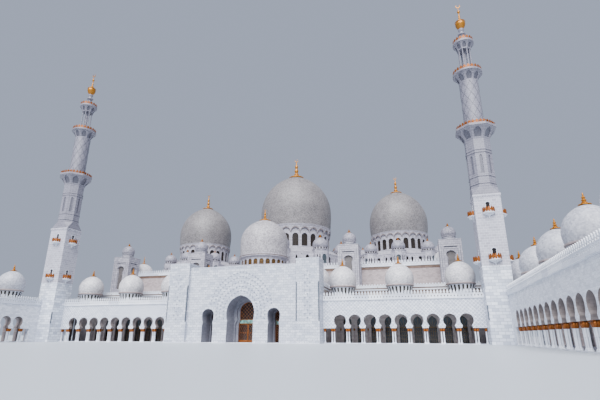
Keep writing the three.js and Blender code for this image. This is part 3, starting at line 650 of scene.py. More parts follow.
@dataclass(frozen=True)
class Mosaic(Finish):
    """Stone mosaic: small pieces of many tones of grey, which read as a speckle, with drifts across them."""

    dark: str = "6f6f7c"
    grout: str = "8d8c96"
    tile_mm: float = 60.0
    drift_mm: float = 500.0
    seam: float = 0.35
    slot: Slot = field(default=Slot.MOSAIC, kw_only=True)

    def dress(self, tree: Tree, shader: Node, place: Socket) -> None:
        """Adds the pieces, drawn coarser than real ones so that they show, and the drifts."""
        cells = {"Scale": 1000 / self.tile_mm, "Randomness": 0.9}
        tiles, edges = (add_node(tree, "ShaderNodeTexVoronoi", {"feature": f, **cells}, {"Vector": place}).outputs
                        for f in ("F1", "DISTANCE_TO_EDGE"))
        tone = add_node(tree, "ShaderNodeSeparateColor", links={0: tiles["Color"]}).outputs[0]
        drift = add_node(tree, "ShaderNodeTexNoise", {
            "Scale": 1000 / self.drift_mm, "Detail": 5.0, "Roughness": 0.7}, {"Vector": place})
        mixed = calc(tree, "MULTIPLY_ADD", tone, 0.9, drift.outputs[0])
        colour = blend(tree, remap(tree, mixed, (0.35, 1.5), (0.0, 1.0)), self.colour, self.dark)
        joined = blend(tree, remap(tree, edges[0], (0.0, 0.09), (self.seam, 0.0)), colour, self.grout)
        self.connect(tree, shader, joined, edges[0], 0.35, 0.002)


@dataclass(frozen=True)
class Gilding(Finish):
    """Gold leaf over metal: warm, bright on its edges, a little dull and uneven between them."""

    shade: str = "734206"
    patch_mm: float = 30.0
    slot: Slot = field(default=Slot.GOLD, kw_only=True)

    def dress(self, tree: Tree, shader: Node, place: Socket) -> None:
        """Adds darker patches where the leaf is thin."""
        shader.inputs["Metallic"].default_value = 0.45
        patch = add_node(tree, "ShaderNodeTexNoise", {"Scale": 1000 / self.patch_mm, "Detail": 4.0},
                         {"Vector": place}).outputs[0]
        worn = remap(tree, patch, (0.0, 1.0), (self.roughness - 0.08, self.roughness + 0.15))
        tree.links.new(worn, shader.inputs["Roughness"])
        self.connect(tree, shader, blend(tree, patch, self.colour, self.shade), patch, 0.25, 0.001)


@dataclass(frozen=True)
class DarkGlass(Finish):
    """Tinted glass with an unlit room behind it: near black, with a clear reflection that wavers a little."""

    room: str = "2a2119"
    slot: Slot = field(default=Slot.GLASS, kw_only=True)

    def dress(self, tree: Tree, shader: Node, place: Socket) -> None:
        """Adds the slight waver of large panes, and the room's brown here and there."""
        shader.inputs["IOR"].default_value = 1.52
        waver = add_node(tree, "ShaderNodeTexNoise", {"Scale": 6.0, "Detail": 2.0}, {"Vector": place}).outputs[0]
        self.connect(tree, shader, blend(tree, waver, self.colour, self.room), waver, 0.1, 0.002)


class Palette:
    """The building's finishes."""

    # White marble of walls and parapets: rows of blocks from afar, clouds and hairline joints from near.
    ashlar = Marble("honed_white_marble_ashlar", "e9eef8", 0.42, vein="a6adbf", joint="8d94a6", block_mm=160.0,
                    course_mm=80.0, joint_mm=9.0)
    carved = Marble("white_marble_carved_all_over", "f0f3fb", 0.45, vein="b3b9c9", joint="7f8698", block_mm=150.0,
                    course_mm=75.0, joint_mm=8.0, relief=Relief.SCROLL, relief_mm=62.0, dust=0.62)
    trellis = Marble("white_marble_cut_with_a_trellis", "f0f4fc", 0.45, vein="bfc5d3", joint="9aa0b1",
                     relief=Relief.TRELLIS, relief_mm=100.0, dust=0.95)
    scroll = Marble("white_marble_with_rosettes", "f0f2fa", 0.45, vein="c4c8d4", joint="a6abba",
                    relief=Relief.SCROLL, relief_mm=80.0, dust=0.3)
    smooth = Marble("polished_white_marble", "eceff7", 0.35, vein="b9bfce", joint_depth=0.1, block_mm=400.0,
                    course_mm=200.0)
    floor = Marble("polished_white_marble_paving", "e6e8ee", 0.22, block_mm=100.0, course_mm=100.0, slot=Slot.FLOOR)

    # Greyer and warmer marbles. The grey of drums, podiums, turrets and the clerestory is their own tone. The hall
    # front, arch and door linings, reveals, niche backs, the columns behind the arcades and the small domes' rings are
    # painted darker: painted shade.
    upper = Marble("grey_white_marble_cladding", "aeabb4", 0.5, vein="8b8893", joint="63616c", block_mm=120.0,
                   course_mm=75.0, joint_mm=8.0)
    # The hall front wall behind the wings: white marble painted grey as shade.
    hall = Marble("warm_white_marble", "b9aea9", 0.5, vein="978c88", joint="877b75", block_mm=90.0, course_mm=60.0)
    # Warm grey: the clerestory's own tone, and painted shade on the door and outer arch linings, the columns behind
    # the wings and the small domes' rings.
    warm = Marble("warm_grey_marble", "a99b9a", 0.5, vein="877b7c", joint="776a69")
    # Arcade arch undersides and the outer wall's courtyard face: painted shade.
    arch = Marble("brown_grey_marble_arch_lining", "8b817f", 0.5, vein="736a68", joint="675e5c")
    # Turret niche backs: painted shade.
    niche = Marble("grey_brown_marble", "625d5d", 0.5, vein="504b4b", joint="474242", block_mm=60.0, course_mm=40.0)
    # The portal's arch undersides and its inner arches: painted shade.
    reveal = Marble("grey_marble_reveal", "84848f", 0.5, vein="6f707b", joint="676874")

    # Marble strips and inlays, which draw thin dull lines. Apart from the pale relief, their dark colours are painted
    # shade and painted shadow: under hood edges and undercuts, and in grooves, slots and niches. The recess stands for
    # stone that no light reaches.
    sprig = Marble("pale_grey_marble_relief", "949aac", 0.5, vein="868c9d", joint="7f8596")
    # Brown lines under the drums' hood edges: painted shadow.
    line = Marble("brown_grey_marble_line", "7f7371", 0.5, vein="6e6362", joint="675c5b")
    # Brown in the undercuts under roof edges and parapets, and in the vestibule drum's grooves: painted shadow.
    brown = Marble("brown_marble_moulding", "6b5448", 0.45, vein="4f3c32", joint="42322a", block_mm=120.0,
                   course_mm=120.0)
    # Dark strips in the towers' and minarets' corner notches, the turrets' slots and their neck rings: painted shade.
    slate = Marble("slate_grey_marble_strip", "454c5a", 0.45, vein="3b414d", joint="353b46")
    # Dark grey for the turrets' panel lines, the spiral ribs, the cores behind niches and the rings under mouldings:
    # painted shade.
    inlay = Marble("grey_marble_inlay", "605f6b", 0.45, vein="55545f", joint="50505a")
    recess = Marble("unlit_stone_recess", "38342f", 0.7, vein="2c2926", joint="242120")

    # Veined marble of the minarets: grey blocks, paler in their joints. The upper stages' darker grey is partly their
    # own tone and partly painted shade.
    shaft = Marble("grey_veined_marble_blocks", "afaeba", 0.45, vein="8e8d9a", joint="d0d0d9", block_mm=120.0,
                   course_mm=70.0, joint_mm=9.0, bias=-0.35)
    stage = Marble("dark_grey_veined_marble", "7c7a86", 0.45, vein="676571", joint="9b9aa5", block_mm=120.0,
                   course_mm=70.0, joint_mm=6.0, bias=-0.45)

    # Mosaic of small marble pieces: a fine speckle, drawn coarser than the real 10 mm so that it shows.
    small_dome = Mosaic("white_marble_mosaic", "dbd8d9", 0.45, dark="a19fa6", grout="b9b7be", tile_mm=34.0,
                        drift_mm=300.0)
    # The side ranges' domes: the white mosaic made greyer, as painted shade.
    range_dome = Mosaic("blue_grey_marble_mosaic", "c3c4cc", 0.45, dark="8f909c", grout="a5a6b0", tile_mm=34.0,
                        drift_mm=300.0)
    grey_dome = Mosaic("light_grey_marble_mosaic", "9c99a4", 0.5, dark="63616c", tile_mm=32.0, drift_mm=300.0)
    great_dome = Mosaic("grey_marble_mosaic", "858080", 0.5, dark="4b4747", tile_mm=32.0)
    vestibule_dome = Mosaic("pale_grey_marble_mosaic", "bcb7ba", 0.5, dark="757074", tile_mm=34.0)

    # Glass mosaic: bright pieces in gilded seams.
    teal = Mosaic("teal_glass_mosaic", "74c4c0", 0.25, dark="2f6f72", grout="9c7a34", tile_mm=48.0, drift_mm=90.0,
                  seam=1.0, slot=Slot.GLASS)

    # Gilding and bronze: a warm sheen, duller where the leaf is thin.
    gold = Gilding("gold_leaf", "c68314", 0.32)
    # Dull gold leaf, darkened further as painted shade for the doors' gilding behind the wings and the vestibule's
    # window bars.
    old_gold = Gilding("dull_gold_leaf", "8f6a2a", 0.4, shade="4e3412")
    rust_gold = Gilding("gilded_bronze", "a85c0e", 0.42, shade="5c2f06")
    bronze = Gilding("dark_bronze", "2b2520", 0.5, shade="1c1713")

    # Tinted panes: near black, with the sky in them.
    glass = DarkGlass("tinted_glass", "10151b", 0.12)
    brown_glass = DarkGlass("brown_tinted_glass", "211d1a", 0.2)
    amber_glass = DarkGlass("golden_brown_glass", "4a3216", 0.25)
    pale_glass = DarkGlass("blue_grey_glass", "46565f", 0.2)


class Workshop:
    """Turns forms on the plan into finished pieces in the frame."""

    palette = Palette

    def __init__(self) -> None:
        """Finds where the plan's minaret line and its level lie in the frame."""
        low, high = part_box("right_minaret_shaft")
        self.shift = Matrix.Translation((0, (low.y + high.y) / 2, LIFT))
        self.triangles = 0

    def piece(self, name: str, form: Form, finishes: Sequence[Finish], replaces: Sequence[str] = (),
              body: str = BUILDING) -> bpy.types.Object:
        """Makes one piece of the building.

        Args:
            name: the piece's name.
            form: its mesh, in metres on the plan.
            finishes: its finishes, in the order of the form's paint numbers.
            replaces: the frame's nodes that it stands for.
            body: the body that it rides on.

        Returns:
            The object.
        """
        form.moved(self.shift)
        for face in form.bm.faces:
            face.smooth = True
        for edge in form.bm.edges:
            edge.smooth = len(edge.link_faces) == 2 and edge.calc_face_angle(math.pi) < SHARP_ANGLE
        mesh = form.mesh()
        mesh.name = name
        for finish in finishes:
            mesh.materials.append(finish.material)
        form.bm.free()
        piece = bpy.data.objects.new(name, mesh)
        bpy.context.scene.collection.objects.link(piece)
        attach(piece, body)
        if replaces:
            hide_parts(*replaces)
        count = sum(len(p.vertices) - 2 for p in mesh.polygons)
        self.triangles += count
        log.info("%s: %d triangles, rides on %s", name, count, body)
        return piece

    def pair(self, name: str, form: Form, finishes: Sequence[Finish], replaces: Sequence[str] = (),
             bodies: tuple[str, str] = (BUILDING, BUILDING)) -> None:
        """Makes a piece of the right half and its mirror image in the left half."""
        mirror = Form().put(form, Matrix.Scale(-1, 4, (1, 0, 0)))
        for side, half, body in zip(("right", "left"), (form, mirror), bodies):
            self.piece(f"{side}_{name}", half, finishes, [f"{side}_{n}" for n in replaces], body)

    def dress(self, nodes: Iterable[str], finish: Finish) -> None:
        """Gives nodes of the frame that stay a better material."""
        for name in nodes:
            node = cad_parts[name]
            node.data.materials.clear()
            node.data.materials.append(finish.material)
            log.info("%s: kept from the frame", name)


@dataclass
class Crest:
    """A pierced parapet: a low band with small drain holes, under a row of slender trefoils."""

    pitch: float = 0.087
    band: float = 0.086
    height: float = 0.182
    depth: float = 0.016
    rail: float = 0.012
    leaf: tuple[Point, ...] = ((0.015, 0), (0.012, 0.22), (0.028, 0.38), (0.026, 0.58), (0.013, 0.64), (0.016, 0.8))

    def unit(self) -> Form:
        """Makes one trefoil with its stretch of band, standing on 0 and facing -Y."""
        half = self.pitch / 2
        top = self.height - self.band
        low, high = 0.3 * self.band, 0.62 * self.band
        hole = [(0.002, 0.0), (0.002, low), (0.013, low), (0.015, (low + high) / 2), (0.013, high),
                (0.0, high + 0.002)]
        crown = [(half, 0.0), (half, self.band)] + [(x, self.band + share * top) for x, share in self.leaf]
        outline = mirrored(hole) + crown + [(0.0, self.height)] + [(-x, z) for x, z in reversed(crown)]
        return plate([outline], self.depth)

    def along(self, form: Form, start: Point, end: Point, z: float, squeeze: float = 1.0) -> None:
        """Sets trefoils along a line on the plan.

        Args:
            form: the form that gets them.
            start: where the line begins.
            end: where it ends; the crest faces the line's right-hand side.
            z: the height that the band stands on.
            squeeze: the share of the full height that the crest keeps.
        """
        run = Vector(end) - Vector(start)
        turn = math.atan2(run.y, run.x)
        count = max(1, round(run.length / self.pitch))
        step = run.length / count
        size = Matrix.Diagonal((step / self.pitch, 1, squeeze, 1))
        places = []
        for i in range(count):
            x, y = Vector(start) + run * (i + 0.5) / count
            places.append(at(x, y, z, turn) @ size @ Matrix.Translation((0, -self.depth / 2, 0)))
        form.put(self.unit(), *places)
        rail = block((0, run.length), wide(self.depth * 0.8), (0, self.rail))
        form.put(rail, *[at(*start, low, turn) for low in (z, z + self.band * squeeze - self.rail)])


@dataclass
class Finial:
    """A gilded finial: a wide skirt that follows the crown, three turned bulbs, then a spike or a crescent."""

    skirt: float
    bulb: float
    top: float
    tip: float
    droop: float
    crescent: bool = False
    steps: int = 20
    outline: tuple[Point, ...] = (
        (0.55, 0.065), (0.8, 0.10), (1.0, 0.15), (0.85, 0.20), (0.5, 0.25), (0.5, 0.27), (0.7, 0.31), (0.8, 0.36),
        (0.65, 0.42), (0.4, 0.47), (0.4, 0.49), (0.56, 0.53), (0.65, 0.58), (0.5, 0.64), (0.25, 0.70))

    def form(self) -> Form:
        """Makes the finial on the axis."""
        rise, s = self.tip - self.top, self.skirt
        shape = [(0.0, -self.droop), (s, -self.droop), (1.03 * s, -self.droop + 0.08 * s), (s, -self.droop + 0.15 * s)]
        shape += bend(shape[-1], (0.5 * s, 0.035 * rise), (0.55 * self.bulb, 0.05 * rise), 5)
        shape += [(r * self.bulb, h * rise) for r, h in self.outline]
        if self.crescent:
            shape += [(0.16 * self.bulb, 0.85 * rise), (0.0, 0.86 * rise)]
        else:
            shape += [(0.28 * self.bulb, 0.86 * rise), (0.1 * self.bulb, 0.98 * rise), (0.0, rise)]
        form = turned([(r, self.top + h) for r, h in shape], self.steps)
        if self.crescent:
            form.put(crescent(0.08 * rise), at(z=self.tip - 0.08 * rise))
        return form


def crescent(size: float) -> Form:
    """Makes an upright crescent whose horns look up, of that outer radius, centred on its own middle."""
    outer = [(size * math.sin(math.radians(a)), -size * math.cos(math.radians(a))) for a in range(-150, 151, 20)]
    inner = [(0.78 * size * math.sin(math.radians(a)), 0.2 * size - 0.78 * size * math.cos(math.radians(a)))
             for a in range(140, -141, -20)]
    form = plate([outer + inner], 0.22 * size)
    return form.moved(Matrix.Translation((0, -0.11 * size, 0)))


@dataclass
class SmallDome:
    """A small dome on a drum with slits between slanting piers."""

    foot: float = 1.2
    slit_foot: float = 1.335
    slit_top: float = 1.525
    drum: float = 0.328
    flare: float = 0.385
    flare_z: float = 1.54
    ring: float = 0.405
    ring_z: float = 1.595
    radius: float = 0.42
    widest: float = 1.77
    top: float = 2.235
    tip: float = 2.45
    slits: int = 20

    def drum_form(self) -> Form:
        """Makes the drum and the ring over it. As painted shade, the slits are painted 1 and the ring's band 2."""
        edge, rim_z = self.ring + 0.004, self.flare_z
        form = turned([(0, self.foot), (self.drum, self.foot), (self.drum, self.slit_foot),
                       (self.flare - 0.012, self.slit_top), (self.flare, rim_z), (self.flare + 0.004, rim_z),
                       (edge, rim_z + 0.02), (edge, self.ring_z - 0.008), (self.ring - 0.012, self.ring_z),
                       (0, self.ring_z)], 4 * self.slits)
        sector = math.tau / (4 * self.slits)
        slits = []
        for face in form.bm.faces:
            middle = face.calc_center_median()
            column = int((math.atan2(middle.y, middle.x) % math.tau) / sector)
            if self.slit_foot < middle.z < self.slit_top and column % 4 < 2:
                slits.append(face)
            # The ring's band is painted 2: painted shade.
            elif self.flare_z < middle.z < self.ring_z and math.hypot(middle.x, middle.y) > self.drum:
                face.material_index = 2
        rims = bmesh.ops.inset_region(form.bm, faces=slits, thickness=0.001, depth=-0.015, use_even_offset=True)
        for face in slits + rims["faces"]:
            face.material_index = 1
        return form

    def shell(self) -> Form:
        """Makes the dome itself."""
        shape = DomeShape(self.ring - 0.012, self.ring_z + GAP, self.radius, self.widest, self.top)
        return shape.solid(14, 40)

    def finial(self) -> Form:
        """Makes its finial."""
        return Finial(0.1, 0.052, self.top, self.tip, 0.01, steps=14).form()


@dataclass
class Arcades:
    """The wings beside the portal and the side ranges of the courtyard, with their roofs and small domes."""

    pitch: float = 0.427
    wall: float = 0.145
    face: float = 0.124
    start: float = 2.465
    first: float = 2.957
    count: int = 9
    side_face: float = 7.385
    side_outer: float = 8.615
    side_first: float = -1.112
    side_count: int = 14
    more_outer: int = 5
    spring: float = 0.356
    top: float = 1.1197
    roof_top: float = 1.214
    crest_foot: float = 1.156
    cap_foot: float = 0.262
    spacing: float = 0.063
    depth_spacing: float = 0.034
    shaft: float = 0.016
    single: float = 0.036
    end_passage: float = 0.255
    tower: float = 0.3463
    tower_x: float = 6.8607
    hall_front: float = 1.4
    hall_half: float = 7.5
    end_pier: float = 0.071
    inset: float = 0.014
    dome_x: float = 8.005
    wing_domes: tuple[float, ...] = (2.96, 4.67, 6.38)
    side_domes: tuple[float, ...] = (0.75, -1.11, -2.82, -4.53, -6.24)
    arch: Arch = Arch(0.140, 0.356, 0.116, 0.425, 0.176, 0.563, 0.735, 0.85)
    crest: Crest = field(default_factory=lambda: Crest(band=0.11, height=0.222))
    dome: SmallDome = field(default_factory=SmallDome)

    @property
    def end(self) -> float:
        """The Y where the side ranges' walls end."""
        return self.side_first - (self.side_count - 0.5) * self.pitch - self.end_pier

    def column(self) -> Form:
        """Makes one column's base and shaft."""
        r = self.shaft
        base = [(0.032, 0.0003), (0.032, 0.012), (0.026, 0.017), (0.028, 0.025), (0.022, 0.032), (r, 0.04)]
        neck = [(r, 0.25), (r + 0.004, 0.255), (r + 0.004, 0.261), (0, 0.261)]
        return turned([(0, FOOT), *raised(base, FLOOR), *neck], 12).painted(2)

    def capital(self) -> Form:
        """Makes one gilded capital, swollen like a bud under a square slab."""
        bud = [(0, 0), (0.021, 0), (0.026, 0.012), (0.034, 0.03), (0.038, 0.05), (0.036, 0.066), (0.028, 0.078),
               (0.024, 0.082), (0, 0.082)]
        slab = block(wide(0.035), wide(0.035), (self.cap_foot + 0.082, self.spring))
        return turned(raised(bud, self.cap_foot), 12).put(slab)

    def cluster(self) -> list[Matrix]:
        """Returns the places of a pier's four columns round its middle."""
        return [at(x, y) for x in wide(self.spacing / 2) for y in wide(self.depth_spacing / 2)]

    def front(self, x: Span, first: float, count: int, ends: Sequence[Span],
              singles: Sequence[float]) -> tuple[Form, Form]:
        """Makes a courtyard front along X, with its face at Y = 0.

        Args:
            x: the wall's two ends.
            first: the first arch's centre.
            count: how many arches there are.
            ends: solid stretches below the arches' springing.
            singles: where single columns stand at the ends.

        Returns:
            The stone and the gilded capitals.
        """
        openings = [(first + i * self.pitch, self.arch) for i in range(count)]
        stone = arched_wall(x, (self.spring, self.top), openings, self.wall)
        for span in ends:
            stone.put(block(span, (0, self.wall), (FOOT, self.spring)))
        middle = self.wall / 2
        places = [at(first + (i - 0.5) * self.pitch, middle) @ c for i in range(count + 1) for c in self.cluster()]
        places += [at(s, middle) @ at(y=y) for s in singles for y in wide(self.depth_spacing / 2)]
        stone.put(self.column(), *places)
        gold = Form().put(self.capital(), *places)
        return stone, gold

    def along_y(self, x: float) -> Matrix:
        """Returns the place that turns a front along X into one along Y, facing the courtyard."""
        return Matrix.Translation((x, 0, 0)) @ Matrix.Rotation(-math.pi / 2, 4, "Z")

    def roof(self) -> Form:
        """Makes the roof's slab with its cornice, the parapets and the domes' drums. The slab's edge behind the crest
        is painted 1 dark: painted shade.
        """
        outer, side, wing, back = self.side_outer, self.side_face, self.face, self.hall_front - GAP
        form = Form()
        crest_z = self.crest_foot
        for foot, top, out, paint in ((self.top + GAP, 1.128, 0.008, 0), (1.128, crest_z, CORNICE, 0),
                                      (crest_z, self.roof_top, 0.001, 1)):
            form.put(block((self.start, outer + out), (wing - out, back), (foot, top)).painted(paint))
            form.put(block((side - out, outer + out), (self.end - out, wing - out), (foot, top)).painted(paint))
        edge = CORNICE - self.inset
        left, right, front = side - edge, outer + edge, self.end - edge
        for start, end in (((self.start, wing - edge), (self.tower_x, wing - edge)),
                           ((left, -self.tower), (left, front)), ((left, front), (right, front)),
                           ((right, front), (right, back)), ((right, back - 0.01), (self.hall_half, back - 0.01))):
            self.crest.along(form, start, end, crest_z)
        return form.put(self.dome.drum_form(), *self.dome_places())

    def dome_places(self) -> list[Matrix]:
        """Returns where the right half's small domes stand."""
        y = (self.face + self.hall_front) / 2
        return [at(x, y) for x in self.wing_domes] + [at(self.dome_x, y) for y in self.side_domes]

    def build(self, shop: Workshop) -> None:
        """Makes the ranges' pieces."""
        p = shop.palette
        shop.dress(["right_arcade_floor", "left_arcade_floor"], p.floor)
        wing, wing_gold = self.front((self.start, self.tower_x), self.first, self.count, [],
                                     [self.start + self.single, self.tower_x - self.single])
        lift = at(y=self.face)
        # The arch undersides, painted 1, are painted shade.
        shop.pair("wing_arcade_front", wing.moved(lift), [p.trellis, p.arch, p.smooth], ["wing_arcade"])
        shop.pair("wing_capitals", wing_gold.moved(lift), [p.rust_gold])

        first = -self.side_first
        solid = (self.tower, first - self.pitch / 2 - self.end_passage)
        side, side_gold = self.front((self.tower, -self.end), first, self.side_count, [solid], [])
        place = self.along_y(self.side_face)
        shop.pair("side_arcade_front", side.moved(place), [p.scroll, p.arch, p.smooth], ["side_arcade_inner"])
        shop.pair("side_capitals", side_gold.moved(place), [p.rust_gold])

        outer_first = -(self.side_first + self.more_outer * self.pitch)
        back = self.hall_front - CORNICE
        openings = [(outer_first + i * self.pitch, self.arch) for i in range(self.side_count + self.more_outer)]
        outer = arched_wall((-back, -self.end), (FOOT, self.top), openings, self.wall, 6)
        outer.moved(self.along_y(self.side_outer - self.wall))
        pair = [(self.dome_x + s * self.pitch / 2, self.arch) for s in (-1, 1)]
        for start, y in ((self.side_face + self.wall, self.end), (self.hall_half, back - self.wall)):
            outer.put(arched_wall((start + GAP, self.side_outer), (FOOT, self.top), pair, self.wall, 6), at(y=y))
        # The outer wall's courtyard face is painted 2 and its arch undersides 1: painted shade.
        for face in outer.bm.faces:
            if face.normal.x < -0.9 and face.material_index == 0:
                face.material_index = 2
        shop.pair("outer_arcade_wall", outer, [p.ashlar, p.warm, p.arch], ["side_arcade_outer"])

        shop.pair("arcade_roof_and_parapet", self.roof(), [p.smooth, p.recess, p.warm], ["arcade_roof"])
        places = self.dome_places()
        wing = len(self.wing_domes)
        for name, finish, part in (("wing", p.small_dome, places[:wing]), ("side", p.range_dome, places[wing:])):
            shop.pair(f"{name}_small_domes", Form().put(self.dome.shell(), *part), [finish])
        shop.pair("small_finials", Form().put(self.dome.finial(), *places), [p.gold])


@dataclass
class Lattice:
    """A gilded lattice of crossing bars with rosettes, cut to the shape of an arch."""

    arch: Arch
    foot: float
    top: float
    cell: float = 0.11
    bar: float = 0.006
    depth: float = 0.006

    def inside(self, x: float, z: float) -> bool:
        """Says whether a point lies in the arch, clear of its frame."""
        return self.foot <= z <= self.top and abs(x) < self.arch.half_width(z) - 0.012

    def bars(self) -> list[tuple[Point, Point]]:
        """Returns the bars' ends, where each sloping line runs inside the arch."""
        tall = self.top - self.foot
        steps = int(2 * (self.arch.wide + tall) / self.cell)
        count = int(tall / 0.01)
        found = []
        for shift, lean in ((i * self.cell, lean) for lean in (1, -1) for i in range(-steps, steps + 1)):
            run = None
            for k in range(count + 1):
                z = self.foot + tall * k / count
                x = lean * (z - self.foot) + shift
                if self.inside(x, z):
                    run = (run[0], (x, z)) if run else ((x, z), (x, z))
                elif run:
                    found.append(run)
                    run = None
            if run:
                found.append(run)
        return [r for r in found if r[1][1] - r[0][1] > self.cell / 3]

    def form(self, centre: float = 0.0) -> Form:
        """Makes the lattice in front of Y = 0."""
        form = Form()
        for (x0, z0), (x1, z1) in self.bars():
            stick = block((0, math.hypot(x1 - x0, z1 - z0)), (-self.depth, 0), wide(self.bar / 2))
            form.put(stick, at(centre + x0, 0, z0) @ tilt(-math.atan2(z1 - z0, x1 - x0)))
        ring = hoop((0.011, 0.015), wide(0.004), 10).moved(Matrix.Rotation(math.pi / 2, 4, "X"))
        places = []
        for row in range(1, int((self.top - self.foot) / self.cell * 2)):
            z = self.foot + row * self.cell / 2
            for x in ((k + 0.5 * (row % 2)) * self.cell for k in range(-8, 9)):
                if self.inside(abs(x) + 0.02, z) and self.inside(abs(x) + 0.02, z + 0.015):
                    places.append(at(centre + x, -self.depth / 2, z))
        return form.put(ring, *places)


@dataclass
class Portal:
    """The tall portal: a deep front wall between square towers, and the stepped doorway behind it."""

    face: float = -0.22
    back: float = 0.32
    top: float = 2.21
    side_x: float = 1.06
    tower: Span = (1.76, 2.46)
    tower_front: float = -0.32
    tower_top: float = 2.35
    slot: Span = (0.55, 1.65)
    step_y: float = 0.4
    inner_back: float = 0.52
    inner_half: float = 1.75
    inner_top: float = 1.48
    screen_y: float = 0.43
    screen_foot: float = 0.5
    band_top: float = 0.62
    pivot: float = 0.296
    leaf_y: float = 0.44
    leaf_half: float = 0.006
    leaf_foot: float = -0.037
    leaf_top: float = 0.488
    notch: float = 0.036
    rim: float = 0.01
    cells: int = 4
    arch: Arch = Arch(0.425, 0.480, 0.418, 0.585, 0.450, 0.785, 1.324, 0.8)
    side_arch: Arch = Arch(0.180, 0.430, 0.162, 0.525, 0.195, 0.750, 0.936, 0.85)
    inner_arch: Arch = Arch(0.385, 0.500, 0.310, 0.635, 0.345, 0.775, 1.200, 0.8)
    door_arch: Arch = Arch(0.310, 0.500, 0.262, 0.620, 0.272, 0.880, 1.160, 0.8)
    side_door: Arch = Arch(0.150, 0.430, 0.140, 0.525, 0.160, 0.740, 0.890, 0.8)

    def moulding(self, arch: Arch, grow: float, proud: float, centre: float = 0.0) -> Form:
        """Makes a raised band along an arch's edge, in front of Y = 0."""
        return rim(arch.outline(FOOT, 14, centre, grow), arch.outline(FOOT, 14, centre), proud)

    def sprig(self) -> Form:
        """Makes one low relief sprig: a stem with paired leaves round a bud."""
        form = Form()
        leaf = [(0, 0), (0.012, 0.006), (0.03, 0.008), (0.046, 0.0), (0.03, -0.008), (0.012, -0.006)]
        for turn in (0.5, 1.1, math.pi - 0.5, math.pi - 1.1, math.pi / 2):
            form.put(plate([leaf], 0.003), tilt(-turn))
        stem = block(wide(0.002), (0, 0.003), (-0.05, 0.0))
        return form.put(stem).moved(at(y=-0.003))

    def carving(self) -> Form:
        """Makes the sprigs that spread over the wall round the great arch, in rows that follow it."""
        places = []
        for row in range(5):
            grow = 0.09 + 0.115 * row
            line = self.arch.outline(0.62, 10, 0.0, grow)
            lengths = [0.0]
            for a, b in zip(line, line[1:]):
                lengths.append(lengths[-1] + math.dist(a, b))
            count = int(lengths[-1] / 0.105)
            for i in range(count):
                s = (i + 0.5 + 0.5 * (row % 2)) * lengths[-1] / count
                x, z = (lerp(list(zip(lengths, [p[k] for p in line])), s) for k in (0, 1))
                beside = abs(abs(x) - self.side_x) > 0.26 or z > 1.02
                if beside and z > 0.6:
                    places.append(at(x, 0, z) @ tilt(math.atan2(x, z - 0.55)))
        return Form().put(self.sprig(), *places)

    def tower_form(self) -> Form:
        """Makes the right tower: plinth, notched shaft with dark strips in its corner notches, coping, and sprigs."""
        (x0, x1), y0, y1 = self.tower, self.tower_front, self.back
        notch = self.notch
        full = [(x0, y0), (x1, y0), (x1, y1), (x0, y1)]
        cut = [(x0, y0 + notch), (x0 + notch, y0 + notch), (x0 + notch, y0), (x1 - notch, y0),
               (x1 - notch, y0 + notch), (x1, y0 + notch), (x1, y1), (x0, y1)]
        form = prism(full, (FOOT, self.slot[0]))
        form.put(prism(cut, self.slot))
        form.put(prism(full, (self.slot[1], self.tower_top)))
        # The dark strips in the corner notches, painted 1, are painted shade.
        for xs in ((x0 + 0.004, x0 + notch), (x1 - notch, x1 - 0.004)):
            form.put(block(xs, (y0 + 0.004, y0 + notch), self.slot).painted(1))
        form.put(block((x0 - 0.006, x1 + 0.006), (y0 - 0.006, y1), (self.tower_top - 0.05, self.tower_top), 0.004))
        middle = (x0 + x1) / 2
        places = [at(middle + dx, y0, z / 100) for z in range(62, 200, 11)
                  for dx in ((-0.075, 0.075) if z % 2 else (0.0,))]
        return form.put(self.sprig().painted(2), *places)

    def door(self) -> tuple[Form, Form]:
        """Makes the right door leaf's glass and its gilded frame."""
        x0, x1 = 0.002, self.pivot + 0.006
        z0, z1, half = self.leaf_foot, self.leaf_top, self.leaf_half
        edge, kick, rail = self.rim, z0 + 0.05, (z0 + z1) / 2
        glass = block((x0 + edge, x1 - edge), wide(0.0015), (z0 + edge, z1 - edge))
        frame_form = Form()
        for xs, zs in (((x0, x0 + 0.014), (z0, z1)), ((x1 - edge, x1), (z0, z1)), ((x0, x1), (z0, kick)),
                       ((x0, x1), (z1 - edge, z1)), ((x0, x1), (rail, rail + 0.012))):
            frame_form.put(block(xs, (-half, half), zs, 0.0012))
        for low, high in ((kick, rail), (rail + 0.012, z1 - edge)):
            run, rise = (x1 - x0 - 2 * edge) / self.cells, (high - low) / 2
            stick = block((0, math.hypot(run, rise)), wide(0.0045), wide(0.0022))
            for i in range(self.cells):
                for lean in (1, -1):
                    slope = tilt(-math.atan2(rise, lean * run))
                    start = x0 + edge + (i + 0.5 - lean * 0.5) * run
                    frame_form.put(stick, *[at(start, 0, z) @ slope for z in (low, low + rise)])
        frame_form.put(block((x0 + 0.004, x0 + 0.012), (-half - 0.01, -half + 0.002), (0.1, 0.2), 0.0015))
        frame_form.put(cylinder(0.005, (FOOT, self.screen_foot - GAP), 12), at(self.pivot, 0))
        lift = at(y=self.leaf_y)
        return glass.moved(lift), frame_form.moved(lift)

    def screen(self, arch: Arch, foot: float, centre: float) -> Form:
        """Makes a pane cut to an arch."""
        outline = [(x, max(z, foot)) for x, z in arch.outline(foot, 10, centre, -0.001)]
        return plate([outline], 0.004).moved(at(y=self.screen_y + 0.01))

